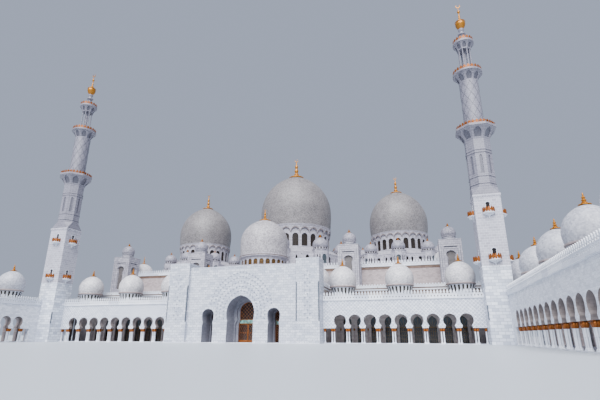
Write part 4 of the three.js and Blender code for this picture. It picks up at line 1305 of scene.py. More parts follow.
    def build(self, shop: Workshop) -> None:
        """Makes the portal's pieces."""
        p = shop.palette
        openings = [(-self.side_x, self.side_arch), (0.0, self.arch), (self.side_x, self.side_arch)]
        edge = self.tower[0] - GAP
        front = arched_wall((-edge, edge), (FOOT, self.top), openings, self.back - self.face, 14)
        front.put(self.moulding(self.arch, 0.022, 0.006))
        for x in (-self.side_x, self.side_x):
            front.put(self.moulding(self.side_arch, 0.014, 0.005, x))
        front.put(self.carving().painted(2))
        front.put(block((-edge, edge), (-0.008, 0.05), (self.top - 0.045, self.top)))
        # The arch undersides are painted 1, the reveal grey: painted shade.
        shop.piece("portal_front", front.moved(at(y=self.face)), [p.carved, p.reveal, p.sprig], ["portal_front_wall"])
        shop.pair("portal_tower_shaft", self.tower_form(), [p.carved, p.slate, p.sprig], ["portal_tower"])

        left, right = ((x, self.side_door) for x in (-self.side_x, self.side_x))
        half = self.inner_half
        inner = Form()
        for arch, y0, y1 in ((self.inner_arch, self.back + GAP, self.step_y),
                             (self.door_arch, self.step_y, self.inner_back)):
            wall = arched_wall((-half, half), (FOOT, self.inner_top), [left, (0.0, arch), right], y1 - y0, 14)
            inner.put(wall, at(y=y0))
        inner.put(self.moulding(self.inner_arch, 0.016, 0.006), at(y=self.back + 0.006))
        # The inner arches are painted the reveal grey all over: painted shade in the portal's depth.
        shop.piece("portal_inner_arches", inner, [p.reveal, p.reveal], ["portal_inner_wall"])

        y0 = self.screen_y
        shop.piece("door_arch_glass", self.screen(self.door_arch, self.band_top, 0.0), [p.glass], ["door_arch_screen"])
        lattice = Lattice(self.door_arch, self.band_top + 0.012, self.door_arch.apex).form().moved(at(y=y0 + 0.009))
        lattice.put(self.moulding_inside(self.door_arch, self.screen_foot), at(y=y0 + 0.012))
        for z in (self.screen_foot, self.band_top):
            lattice.put(block(wide(0.3), (y0, y0 + 0.02), (z, z + 0.012)))
        shop.piece("door_arch_lattice", lattice, [p.rust_gold])
        band = plate([rectangle(wide(0.3), (self.screen_foot + 0.01, self.band_top))], 0.01)
        shop.piece("door_transom_mosaic", band.moved(at(y=y0 + 0.006)), [p.teal])

        side = self.screen(self.side_door, FOOT, self.side_x)
        shop.pair("side_door_glass", side, [p.glass], ["side_door_screen"])
        bars = Lattice(self.side_door, FOOT + 0.02, self.side_door.apex, 0.068, 0.0034).form(self.side_x)
        bars.moved(at(y=y0 + 0.009))
        for z in (0.46, 0.585):
            bars.put(block(wide(0.14, self.side_x), (y0, y0 + 0.016), (z, z + 0.01)))
        bars.put(self.moulding_inside(self.side_door, FOOT, self.side_x), at(y=y0 + 0.012))
        shop.pair("side_door_lattice", bars, [p.rust_gold])
        teal = plate([rectangle(wide(0.138, self.side_x), (0.47, 0.585))], 0.008)
        shop.pair("side_door_mosaic", teal.moved(at(y=y0 + 0.004)), [p.teal])

        glass, frame_form = self.door()
        doors = ("right_door", "left_door")
        shop.pair("door_leaf_frame", frame_form, [p.rust_gold], ["door_leaf"], doors)
        shop.pair("door_leaf_glass", glass, [p.glass], (), doors)

    def moulding_inside(self, arch: Arch, foot: float, centre: float = 0.0) -> Form:
        """Makes the gilded rim just inside an arched pane."""
        return rim(arch.outline(foot, 12, centre, -0.001), arch.outline(foot, 12, centre, -0.013), 0.008)


@dataclass
class Turret:
    """A square turret with a horseshoe niche on each side, and a small dome."""

    half: float = 0.355
    foot: float = 1.5503
    top: float = 3.19
    skin: float = 0.06
    neck: float = 0.22
    neck_top: float = 3.34
    radius: float = 0.25
    widest: float = 3.43
    dome_top: float = 3.7
    tip: float = 3.81
    niche: Arch = Arch(0.13, 2.45, 0.114, 2.57, 0.16, 2.69, 2.815, 0.75)
    niche_foot: float = 1.9
    slot: tuple[Span, Span] = ((-0.22, 0.22), (2.915, 2.955))
    lines: tuple[tuple[float, float, float], ...] = ((0.23, 1.84, 2.875), (0.3, 1.78, 3.02))

    def stone(self) -> Form:
        """Makes the shaft and neck. As painted shade, the niche backs are painted 1, the slots and neck rings 2, and
        the panels' lines 3.
        """
        h, skin = self.half, self.skin
        # The core behind the niches is painted 1: painted shade.
        form = block(wide(h - skin), wide(h - skin), (self.foot, self.top - 0.02)).painted(1)
        loops = [rectangle(wide(h), (self.foot, self.top)), self.niche.outline(self.niche_foot), rectangle(*self.slot)]
        face = plate(loops, skin)
        face.put(block(self.slot[0], (skin - 0.012, skin), self.slot[1]).painted(2))
        for reach, low, high in self.lines:
            inside = rectangle(wide(reach - 0.01), (low + 0.01, high - 0.01))
            face.put(framed(rectangle(wide(reach), (low, high)), inside, 0.003).painted(3))
        edge = self.niche.outline(self.niche_foot, 8, 0.0, 0.014)
        face.put(framed(edge, self.niche.outline(self.niche_foot + 0.0001), 0.006))
        form.put(walls_round([face], 4, lambda z: h))
        form.put(block(wide(h + 0.008), wide(h + 0.008), (self.top - 0.03, self.top), 0.004))
        n = self.neck
        neck = raised([(0, -0.01), (n + 0.02, -0.01), (n + 0.02, 0.03), (n, 0.04)], self.top)
        neck += raised([(n, -0.02), (n + 0.012, -0.012), (n + 0.012, 0), (0, 0)], self.neck_top)
        form.put(turned(neck, 32))
        for z in (self.top + 0.055, self.top + 0.105):
            form.put(hoop((n - 0.004, n + 0.003), (z, z + 0.014), 32).painted(2))
        return form

    def dome(self) -> Form:
        """Makes the little dome."""
        return DomeShape(self.neck, self.neck_top + GAP, self.radius, self.widest, self.dome_top).solid(12, 32)

    def finial(self) -> Form:
        """Makes its finial."""
        return Finial(0.085, 0.05, self.dome_top - 0.01, self.tip, 0.012, steps=12).form()


@dataclass
class Hall:
    """The prayer hall's walls and roofs, its turrets, and the doors and windows behind the arcades."""

    half: float = 7.5
    front: float = 1.4
    back: float = 8.6
    wall: float = 0.1
    wall_top: float = 1.5
    roof_top: float = 1.55
    porch: float = 2.43
    upper_half: float = 6.66
    upper_front: float = 2.8
    upper_wall_top: float = 2.48
    upper_top: float = 2.54
    portal_back: float = 0.32
    pitch: float = 0.427
    door_first: float = 2.957
    doors: int = 9
    door: Arch = Arch(0.12, 0.38, 0.108, 0.44, 0.13, 0.56, 0.72)
    transom: float = 0.40
    window: tuple[float, float, float, float] = (0.12, 0.25, 0.64, 0.82)
    side_windows: int = 8
    back_windows: int = 16
    band: float = 0.06
    inset: float = 0.014
    engaged: float = 0.018
    corner_foot: float = 2.64
    corner_top: float = 3.1
    porch_dome: Point = (2.0, 1.4)
    porch_lift: float = 0.12
    corner_dome: Point = (6.2, 3.4)
    turret_places: tuple[Point, ...] = ((2.94, 2.444), (6.31, 2.444))
    turret: Turret = field(default_factory=Turret)
    crest: Crest = field(default_factory=Crest)
    posts: Crest = field(default_factory=lambda: Crest(pitch=0.1, band=0.06, height=0.15))
    dome: SmallDome = field(default_factory=lambda: SmallDome(foot=1.4303, slit_foot=1.445))

    def frame_round(self, z: Span, out: float, lower: bool) -> Form:
        """Makes a band round a roof's edge between two heights, that far outside the walls."""
        x, y = (self.half, self.front) if lower else (self.upper_half, self.upper_front)
        return block(wide(x + out), (y - out, self.back - CORNICE + out), z)

    def lower_roof(self) -> Form:
        """Makes the roof over the outer part of the hall, with its crest and the porch's domes' drums."""
        top, roof = self.wall_top, self.roof_top
        form = self.frame_round((top, top + 0.014), 0.012, True)
        form.put(self.frame_round((top + 0.014, roof), CORNICE, True))
        form.put(block(wide(self.porch), (self.portal_back + GAP, self.front), (top, roof)))
        edge, porch = self.half + CORNICE - self.inset, self.porch
        front, rear = self.front - CORNICE + self.inset, self.back - self.inset
        line = [(porch, 0.33), (porch, front), (edge, front), (edge, rear)]
        line += [(-x, y) for x, y in reversed(line)]
        for start, end in zip(line, line[1:]):
            self.parapet(form, start, end)
        return form.put(self.dome.drum_form(), *self.porch_places())

    def parapet(self, form: Form, start: Point, end: Point) -> None:
        """Sets a low parapet along a line: an undercut strip painted brown as its shadow, a pale band with drain holes
        painted dark as shade, then trefoils.
        """
        run = Vector(end) - Vector(start)
        z, d = self.roof_top, self.inset
        # The undercut strip, painted 3 brown, is painted shadow; the drain holes, painted 1, are painted shade.
        line = block((-d, run.length + d), wide(0.006), (z, z + 0.038)).painted(3)
        line.put(block((-d, run.length + d), wide(d), (z + 0.038, z + 0.098)))
        count = int(run.length / (2 * self.pitch))
        hole = block(wide(0.012), (-d - 0.002, d), (z + 0.052, z + 0.076)).painted(1)
        line.put(hole, *[at((i + 0.5) * run.length / count) for i in range(count)])
        form.put(line, at(*start, 0, math.atan2(run.y, run.x)))
        self.crest.along(form, start, end, z + 0.085, 0.4)

    def porch_places(self) -> list[Matrix]:
        """Returns where the porch roof's two small domes stand."""
        x, y = self.porch_dome
        return [at(s * x, y, self.porch_lift) for s in (-1, 1)]

    def upper_roof(self) -> Form:
        """Makes the roof that carries the great domes: a thin fascia, and posts with trefoil heads on it."""
        foot, top = self.upper_wall_top, self.upper_top
        form = self.frame_round((foot, top - 0.016), CORNICE, False)
        form.put(self.frame_round((top - 0.016, top), CORNICE - 0.008, False))
        x, front, rear = self.upper_half + 0.012, self.upper_front - 0.012, self.back - self.inset
        corners = [(-x, front), (x, front), (x, rear), (-x, rear)]
        for start, end in zip(corners, corners[1:] + corners[:1]):
            self.posts.along(form, start, end, top)
        x, y = self.corner_dome
        seat = [*raised([(0, 0), (0.395, 0), (0.395, 0.03), (0.38, 0.04)], top), (0.38, self.corner_foot),
                (0, self.corner_foot)]
        return form.put(turned(seat, 40), at(-x, y), at(x, y))

    def mouldings(self) -> Form:
        """Makes the undercut mouldings below both roofs' edges, painted brown as their shadow."""
        low, high = self.wall_top, self.upper_wall_top
        form = self.frame_round((low - self.band, low - GAP), 0.008, True)
        return form.put(self.frame_round((high - 1.6 * self.band, high - GAP), 0.008, False))

    def front_wall(self) -> Form:
        """Makes the right half of the wall behind the wings, with a door in each bay."""
        x0, top = self.porch - self.wall, self.wall_top - GAP
        openings = [(self.door_first + i * self.pitch, self.door) for i in range(self.doors)]
        form = arched_wall((x0, self.half), (FOOT, top), openings, self.wall, 6)
        for centre, arch in openings:
            form.put(rim(arch.outline(FOOT, 6, centre, 0.014), arch.outline(FOOT, 6, centre), 0.008))
        form.moved(at(y=self.front))
        return form.put(block((x0, self.porch), (self.portal_back + GAP, self.front), (FOOT, top)))

    def bays(self, shift: float, y: float) -> list[Matrix]:
        """Returns places along the front wall: at the doors, or half a bay before each and after the last."""
        return [at(self.door_first + (i - shift) * self.pitch, y) for i in range(self.doors + math.ceil(shift))]

    def door_parts(self) -> tuple[Form, Form, Form]:
        """Makes the right half's door glass, the pale fanlights over it, and the gold of the doors."""
        arch, z = self.door, self.transom
        half, outline = arch.half_width(z), arch.outline(FOOT, 6)
        low = [(x, h) for x, h in outline if h < z]
        middle = len(low) // 2
        leaf = plate([[*low[:middle], (-half, z), (half, z), *low[middle:]]], 0.006)
        fan = plate([[(-half, z), *((x, h) for x, h in outline if h > z), (half, z)]], 0.006)
        rays = Form()
        for turn, short in ((-60, 0.17), (-30, 0.08), (0, 0.0), (30, 0.08), (60, 0.17)):
            ray = block(wide(0.0025), (-0.004, 0.001), (0.03, arch.apex - z - short))
            rays.put(ray, at(z=z) @ tilt(math.radians(turn)))
        rays.put(block(wide(0.12), (-0.006, 0.002), wide(0.008, z)))
        for x in (-0.06, 0.0, 0.06):
            rays.put(block(wide(0.003, x), (-0.005, 0.001), (FOOT, z)))
        for h in (0.06, 0.17, 0.28):
            rays.put(block(wide(0.115), (-0.004, 0.001), wide(0.002, h)))
        capital = turned([(0, 0.3), (0.016, 0.3), (0.026, 0.33), (0.028, 0.35), (0.018, 0.37), (0, 0.37)], 10)
        places = self.bays(0.0, self.front + 0.05)
        gold = Form().put(rays, *places).put(capital, *self.bays(0.5, self.front - self.engaged))
        return Form().put(leaf, *places), Form().put(fan, *places), gold

    def columns(self) -> Form:
        """Makes the right half's engaged columns between the doors."""
        shape = [(0, FOOT), (0.026, FOOT), (0.026, FLOOR + 0.025), (0.018, FLOOR + 0.04), (0.016, 0.3), (0, 0.3)]
        column = turned(shape, 12).put(block(wide(0.03), wide(0.03), (0.37, 0.395)))
        return Form().put(column, *self.bays(0.5, self.front - self.engaged))

    def windowed(self, x: Span, count: int) -> tuple[Form, Form, Form]:
        """Makes a wall along X with its windows: the stone, the glass and the grilles, with the face at Y = 0."""
        half, foot, spring, apex = self.window
        middle = (x[0] + x[1]) / 2
        centres = [middle + (i - (count - 1) / 2) * 2 * self.pitch for i in range(count)]
        loops = [rectangle(x, (FOOT, self.wall_top - GAP))]
        loops += [round_headed(half, foot, spring, apex, 4, c) for c in centres]
        hole = round_headed(half, foot, spring, apex)
        edging = framed(round_headed(half + 0.03, foot - 0.03, spring, apex + 0.03), hole, 0.012)
        edging.put(block(wide(half + 0.045), (-0.02, 0.01), (foot - 0.05, foot - 0.03)))
        bars = Form()
        for k in range(-2, 3):
            bars.put(block(wide(0.003, k * 0.045), (0, 0.008), (foot, apex - 0.02 - 0.03 * abs(k))))
        for z in (0.35, 0.45, 0.55, 0.64):
            bars.put(block(wide(half), (0.001, 0.007), wide(0.003, z)))
        parts = ((edging, 0.0), (plate([hole], 0.006), 0.06), (bars, 0.045))
        edgings, panes, grilles = (Form().put(part, *[at(c, y) for c in centres]) for part, y in parts)
        return plate(loops, self.wall).put(edgings), panes, grilles

    def build(self, shop: Workshop) -> None:
        """Makes the hall's pieces."""
        p = shop.palette
        shop.dress(["hall_floor"], p.floor)
        shop.dress(["clerestory_walls"], p.warm)
        # The wall behind the wings is painted grey as shade, and its door linings warm grey as shade.
        shop.pair("hall_front_wall_with_doors", self.front_wall(), [p.hall, p.warm], ["hall_front_wall"])
        # The columns behind the wings are painted warm grey: painted shade.
        shop.pair("hall_front_columns", self.columns(), [p.warm])
        glass, fans, gold = self.door_parts()
        shop.pair("hall_door_glass", glass, [p.glass])
        shop.pair("hall_door_fanlights", fans, [p.pale_glass])
        # The door gilding behind the wings is the dull gold, darkened as painted shade.
        shop.pair("hall_door_gilding", gold, [p.old_gold])

        inner, rear = self.half - self.wall - GAP, self.back - CORNICE
        side = self.windowed((-rear, -(self.front + self.wall + GAP)), self.side_windows)
        side_place = at(self.half, turn=math.pi / 2) @ Matrix.Scale(-1, 4, (1, 0, 0))
        back = self.windowed(wide(inner), self.back_windows)
        kinds = (("walls", p.ashlar, ["wall"]), ("window_glass", p.brown_glass, []), ("window_grilles", p.bronze, []))
        for (name, finish, nodes), form in zip(kinds, side):
            shop.pair(f"hall_side_{name}", Form().put(form, side_place), [finish], [f"hall_side_{n}" for n in nodes])
        turn = at(y=rear, turn=math.pi)
        for (name, finish, nodes), form in zip(kinds, back):
            shop.piece(f"hall_back_{name}", form.moved(turn), [finish], [f"hall_back_{n}" for n in nodes])

        shop.piece("lower_roof_and_parapet", self.lower_roof(), [p.smooth, p.recess, p.warm, p.brown], ["lower_roof"])
        shop.piece("upper_roof_and_parapet", self.upper_roof(), [p.smooth], ["upper_roof"])
        shop.piece("roof_edge_mouldings", self.mouldings(), [p.brown])
        places = self.porch_places()
        shop.piece("porch_domes", Form().put(self.dome.shell(), *places), [p.small_dome])
        shop.piece("porch_finials", Form().put(self.dome.finial(), *places), [p.gold])
        corner = at(*self.corner_dome)
        shell = DomeShape(0.38, self.corner_foot + GAP, 0.4, 2.74, self.corner_top).solid(14, 40)
        finial = Finial(0.1, 0.036, self.corner_top, 3.42, 0.01, steps=16).form()
        shop.pair("corner_dome", shell.moved(corner), [p.small_dome])
        shop.pair("corner_finial", finial.moved(corner), [p.gold])
        for name, (x, y) in zip(("inner", "outer"), self.turret_places):
            for part, form, finishes, nodes in (
                    ("shaft", self.turret.stone(), [p.upper, p.niche, p.slate, p.inlay], [f"{name}_turret"]),
                    ("dome", self.turret.dome(), [p.grey_dome], []),
                    ("finial", self.turret.finial(), [p.gold], [])):
                shop.pair(f"{name}_turret_{part}", form.moved(at(x, y)), finishes, nodes)


@dataclass
class Drum:
    """A round drum of round-headed windows. Over them pointed hoods can lean out to carry the dome's ring."""

    radius: float
    foot: float
    window: Span
    half: float
    ring: float
    ring_z: Span
    hoods: Span | None = None
    bays: int = 24
    wall: float = 0.06

    @property
    def width(self) -> float:
        """Half a bay's width."""
        return math.pi * self.radius / self.bays

    def bay(self) -> Form:
        """Makes one bay's wall with its window and the window's frame."""
        low, high = self.window
        spring, edge = high - self.half, 0.12 * self.half
        hole = round_headed(self.half, low, spring, high)
        panel = plate([rectangle(wide(self.width), (self.foot, self.ring_z[0])), hole], self.wall)
        return panel.put(framed(round_headed(self.half + edge, low - edge, spring, high + edge), hole, 0.005))

    def hood(self) -> Form:
        """Makes one bay of the skin that leans out over the windows, with a brown line painted 1 along its pointed
        edge: a painted shadow under the hood.
        """
        width, (valley, peak), top = self.width, self.hoods, self.ring_z[0]
        reach = 0.94 * width
        right = [(reach, valley)]
        right += bend(right[-1], (reach, valley + 0.72 * (peak - valley)), (0.0, peak), 6)
        edge = [(-width, valley), *mirrored(right), (width, valley)]
        form = plate([[*edge, (width, top), (-width, top)]], 0.03)
        form.sliced(2, [valley + (top - valley) * k / 5 for k in range(1, 5)])
        # Painted shadow: a brown line under the hood's pointed edge.
        line = plate([edge + raised(reversed(edge), 0.04)], 0.012).painted(1)
        return form.put(line, at(y=-0.005))

    def stone(self) -> Form:
        """Makes the drum's wall, hoods, ring and sill. The grooves of a plain ring are painted 1, as painted shade."""
        r, out, inside, (z0, z1) = self.radius, self.ring, self.radius - self.wall, self.ring_z
        form = ring_of(self.bay(), self.bays, lambda z: r)
        tall = z1 - z0
        if self.hoods:
            valley = self.hoods[0]
            lean = [(valley + (z0 - valley) * t, r + 0.034 + (out - r - 0.04) * t ** 1.4) for t in (0, 0.3, 0.6, 1)]
            form.put(ring_of(self.hood(), self.bays, lambda z: lerp(lean, z)))
            shape = [(out - 0.02, z0), (out, z0 + 0.25 * tall), (out, z0 + 0.5 * tall), (out - 0.03, z0 + 0.6 * tall),
                     (out - 0.012, z0 + 0.7 * tall), (out - 0.012, z1 - 0.1 * tall)]
        else:
            shape = [(r + 0.012, z0)]
            for low in (z0 + 0.12 * tall, z0 + 0.58 * tall):
                shape += [(out - 0.02, low), (out, low + 0.08 * tall), (out, low + 0.26 * tall),
                          (out - 0.02, low + 0.34 * tall)]
            for low in (z0 + 0.02, z0 + 0.49 * tall):
                form.put(hoop((r, out - 0.001), (low, low + 0.018), 96).painted(1))
        form.put(turned([(inside, z0 - 0.01), (r + 0.01, z0 - 0.01), *shape, (out - 0.03, z1 - GAP),
                         (inside, z1 - GAP), (inside, z0 - 0.01)], 96))
        sill = [(r - 0.01, 0), (r + 0.03, 0), (r + 0.03, 0.03), (r - 0.01, 0.045), (r - 0.01, 0)]
        return form.put(turned(raised(sill, self.foot), 96))

    def glass(self) -> Form:
        """Makes the panes' ring behind the windows."""
        r = self.radius - self.wall * 0.45
        return hoop((r - 0.005, r), (self.window[0] - 0.02, self.window[1] + 0.02), 96)

    def bars(self) -> Form:
        """Makes the windows' glazing bars."""
        z0, z1 = self.window
        form = block(wide(self.half), (0, 0.006), wide(0.004, z1 - self.half))
        for x in (-0.5, 0.0, 0.5):
            reach = z1 - self.half * (1 - math.sqrt(1 - x * x))
            form.put(block(wide(0.004, x * self.half), (0, 0.006), (z0, reach)))
        return Form().put(form, *around(self.bays, self.radius - self.wall * 0.4))


@dataclass
class Cupola:
    """A little domed lantern with a ring of small square lights, on an octagonal corner bay of a podium."""

    bay: float
    drum: float
    radius: float
    light_z: float
    foot: float
    top: float
    tip: float
    window: Arch
    sill: float
    lights: int = 14

    def stone(self, foot: float, top: float) -> Form:
        """Makes the corner bay from foot to top, with its windows, and the lantern's drum."""
        b, d, low, sill, window = self.bay, self.drum, self.light_z - 0.045, self.sill, self.window
        reach, side = b * math.cos(EIGHTH), b * math.sin(EIGHTH)
        # The core, painted 1 dark, is painted shade seen through the slits and window.
        form = cylinder(b - 0.05, (foot, top), 8, EIGHTH).painted(1)
        wall = rectangle(wide(side), (foot, top))
        hole = window.outline(sill, 5)
        front = plate([wall, hole], 0.03).put(plate([hole], 0.004).painted(2), at(y=0.022))
        slits = [pointed(0.026, sill, window.wide_z, window.apex, 3, c) for c in wide(0.4 * side)]
        canted = plate([wall, *slits], 0.03)
        plain = plate([wall], 0.03)
        panels = [Form().put(f) for f in (front, canted, canted, plain, plain, plain, canted, canted)]
        form.put(walls_round(panels, 8, lambda z: reach))
        lantern = [(0, top - 0.01), (b + 0.01, top - 0.01), (b + 0.01, top + 0.004), (d + 0.02, low - 0.004), (d, low)]
        lantern += raised([(d, -0.014), (d + 0.014, -0.008), (d + 0.014, 0), (0, 0)], self.foot)
        form.put(turned(lantern, 36))
        light = block(wide(0.03), wide(0.004), wide(0.034, self.light_z)).painted(1)
        return form.put(light, *around(self.lights, d))

    def dome(self) -> Form:
        """Makes the lantern's dome."""
        foot = self.foot + GAP
        widest = foot + 0.19 * (self.top - foot)
        return DomeShape(self.drum + 0.006, foot, self.radius, widest, self.top).solid(9, 28)

    def finial(self) -> Form:
        """Makes the lantern's finial."""
        return Finial(0.27 * self.radius, 0.18 * self.radius, self.top - 0.01, self.tip, 0.01, steps=10).form()


@dataclass
class GreatDome:
    """A great dome with its drum, on an octagonal podium with a cupola at each corner."""

    name: str
    x: float
    podium: float
    reach: float
    podium_wall: float
    podium_top: float
    drum: Drum
    radius: float
    widest: float
    top: float
    cap: float
    bulb: float
    tip: float
    cupola: Cupola
    openings: tuple[float, float, float]
    y: float = 5.7
    foot: float = 2.5403

    def wall(self, hand: int) -> Form:
        """Makes one wall of the podium, with two slits and an arched window, and a drain hole painted 1 dark as shade.
        """
        half, high, window = self.podium * math.sin(EIGHTH), self.podium_wall, self.cupola.window
        low, apex = self.cupola.sill, window.apex
        *slits, middle = (hand * half * (2 * share - 1) for share in self.openings)
        arch = Arch(0.062, low, 0.056, low + 0.3 * (apex - low), 0.075, window.wide_z, apex, 0.8)
        form = plate([rectangle(wide(half), (self.foot, high)),
                      *(pointed(0.04, low, window.wide_z, apex - 0.01, 3, c) for c in slits),
                      arch.outline(low, 5, middle)], 0.05)
        form.put(block(wide(half), (-0.012, 0.03), (high - 0.05, high - 0.015)))
        return form.put(block(wide(0.014), (-0.003, 0.02), (high - 0.1, high - 0.072)).painted(1))

    def podium_form(self) -> Form:
        """Makes the octagonal walls with their windows, and the sloping roof up to the drum."""
        r, wall, top, d = self.podium, self.podium_wall, self.podium_top, self.drum.radius
        flat = r * math.cos(EIGHTH)
        form = walls_round([self.wall(1), self.wall(-1)], 8, lambda z: flat, EIGHTH)
        slope = [(r - 0.1, wall - 0.02), (r + 0.012, wall - 0.02), (r + 0.012, wall), (d * 1.09, top), (d - 0.07, top),
                 (d - 0.07, top - 0.04), (r - 0.1, wall - 0.02)]
        form.put(turned(slope, 8, -math.pi / 2))
        # The dark cone inside, painted 1, is painted shade seen through the windows.
        dark = [(0.6, self.foot), (r - 0.08, self.foot), (r - 0.08, wall - 0.03), (0.6, self.foot)]
        form.put(turned(dark, 8, -math.pi / 2).painted(1))
        return form.put(self.cupola.stone(self.foot, wall + 0.085), *around(8, self.reach))

    def dome_form(self) -> Form:
        """Makes the dome's shell."""
        ring, foot = self.drum.ring - 0.03, self.drum.ring_z[1]
        return DomeShape(ring, foot, self.radius, self.widest, self.top).hollow(28, 12, 96)

    def build(self, shop: Workshop) -> None:
        """Makes the dome's pieces, and their mirror images where it stands to one side."""
        p = shop.palette
        place = at(self.x, self.y)
        name = self.name

        def add(part: str, form: Form, finishes: Sequence[Finish], nodes: Sequence[str] = ()) -> None:
            """Makes one piece in the middle, or a pair of them to the sides."""
            make = shop.pair if self.x else shop.piece
            make(f"{name}_{part}", form.moved(place), finishes, nodes)

        add("podium_walls", self.podium_form(), [p.upper, p.brown_glass, p.pale_glass], [f"{name}_podium"])
        cupolas = around(8, self.reach)
        add("cupola_domes", Form().put(self.cupola.dome(), *cupolas), [p.grey_dome])
        add("cupola_finials", Form().put(self.cupola.finial(), *cupolas), [p.gold])
        add("drum_walls", self.drum.stone(), [p.upper, p.line], [f"{name}_drum"])
        add("drum_glass", self.drum.glass(), [p.brown_glass])
        add("drum_window_bars", self.drum.bars(), [p.bronze])
        add("dome_shell", self.dome_form(), [p.great_dome], [f"{name}_dome"])
        finial = Finial(self.cap, self.bulb, self.top - 0.02, self.tip, 0.14 * self.cap, True, 32).form()
        add("gilded_finial", finial, [p.gold], [f"{name}_finial"])


@dataclass
class Vestibule:
    """The smaller dome behind the portal, on a square block."""

    y: float = 1.65
    half: float = 1.0
    foot: float = 1.5503
    block_top: float = 2.39
    radius: float = 0.842
    widest: float = 3.3
    top: float = 4.157
    tip: float = 4.575
    drum: Drum = field(default_factory=lambda: Drum(0.8, 2.39, (2.42, 2.63), 0.076, 0.868, (2.70, 2.81), wall=0.04))

    def build(self, shop: Workshop) -> None:
        """Makes the vestibule's pieces."""
        p = shop.palette
        h, top = self.half, self.top
        stone = self.drum.stone().put(prism([(-h, -h), (h, -h), (h, h), (-h, h)], (self.foot, self.block_top)))
        shape = DomeShape(self.drum.ring - 0.04, self.drum.ring_z[1], self.radius, self.widest, top)
        finial = Finial(0.2, 0.06, top - 0.008, self.tip, 0.03, True, 24).form()
        for part, form, finishes, nodes in (
                ("walls", stone, [p.upper, p.brown], ["vestibule_drum"]),
                ("glass", self.drum.glass(), [p.amber_glass], []),
                ("window_bars", self.drum.bars(), [p.old_gold], []),
                ("dome_shell", shape.hollow(24, 10, 80), [p.vestibule_dome], ["vestibule_dome"]),
                ("finial", finial, [p.gold], [])):
            shop.piece(f"vestibule_{part}", form.moved(at(y=self.y)), finishes, nodes)


@dataclass
class Railing:
    """A gallery's railing: gilded leaf-shaped posts between thin rails."""

    height: float = 0.085

    def post(self) -> Form:
        """Makes one post, standing on 0 and facing -Y."""
        h = self.height
        half = [(0.022, 0), (0.022, 0.2 * h), (0.03, 0.3 * h), (0.036, 0.5 * h), (0.032, 0.66 * h), (0.022, 0.74 * h),
                (0.026, 0.86 * h)]
        outline = half + [(0, h)] + [(-x, z) for x, z in reversed(half)]
        return plate([outline], 0.01).moved(at(y=-0.005))

    def around(self, radius: float, z: float, count: int, sides: int) -> Form:
        """Makes a closed railing of that many posts."""
        form = Form().put(self.post(), *[Matrix.Translation((0, 0, z)) @ m for m in around(count, radius)])
        corner = radius / math.cos(EIGHTH) if sides == 8 else radius
        for low in (z + 0.1 * self.height, z + 0.5 * self.height):
            form.put(hoop(wide(0.004, corner), (low, low + 0.016), sides, EIGHTH))
        return form


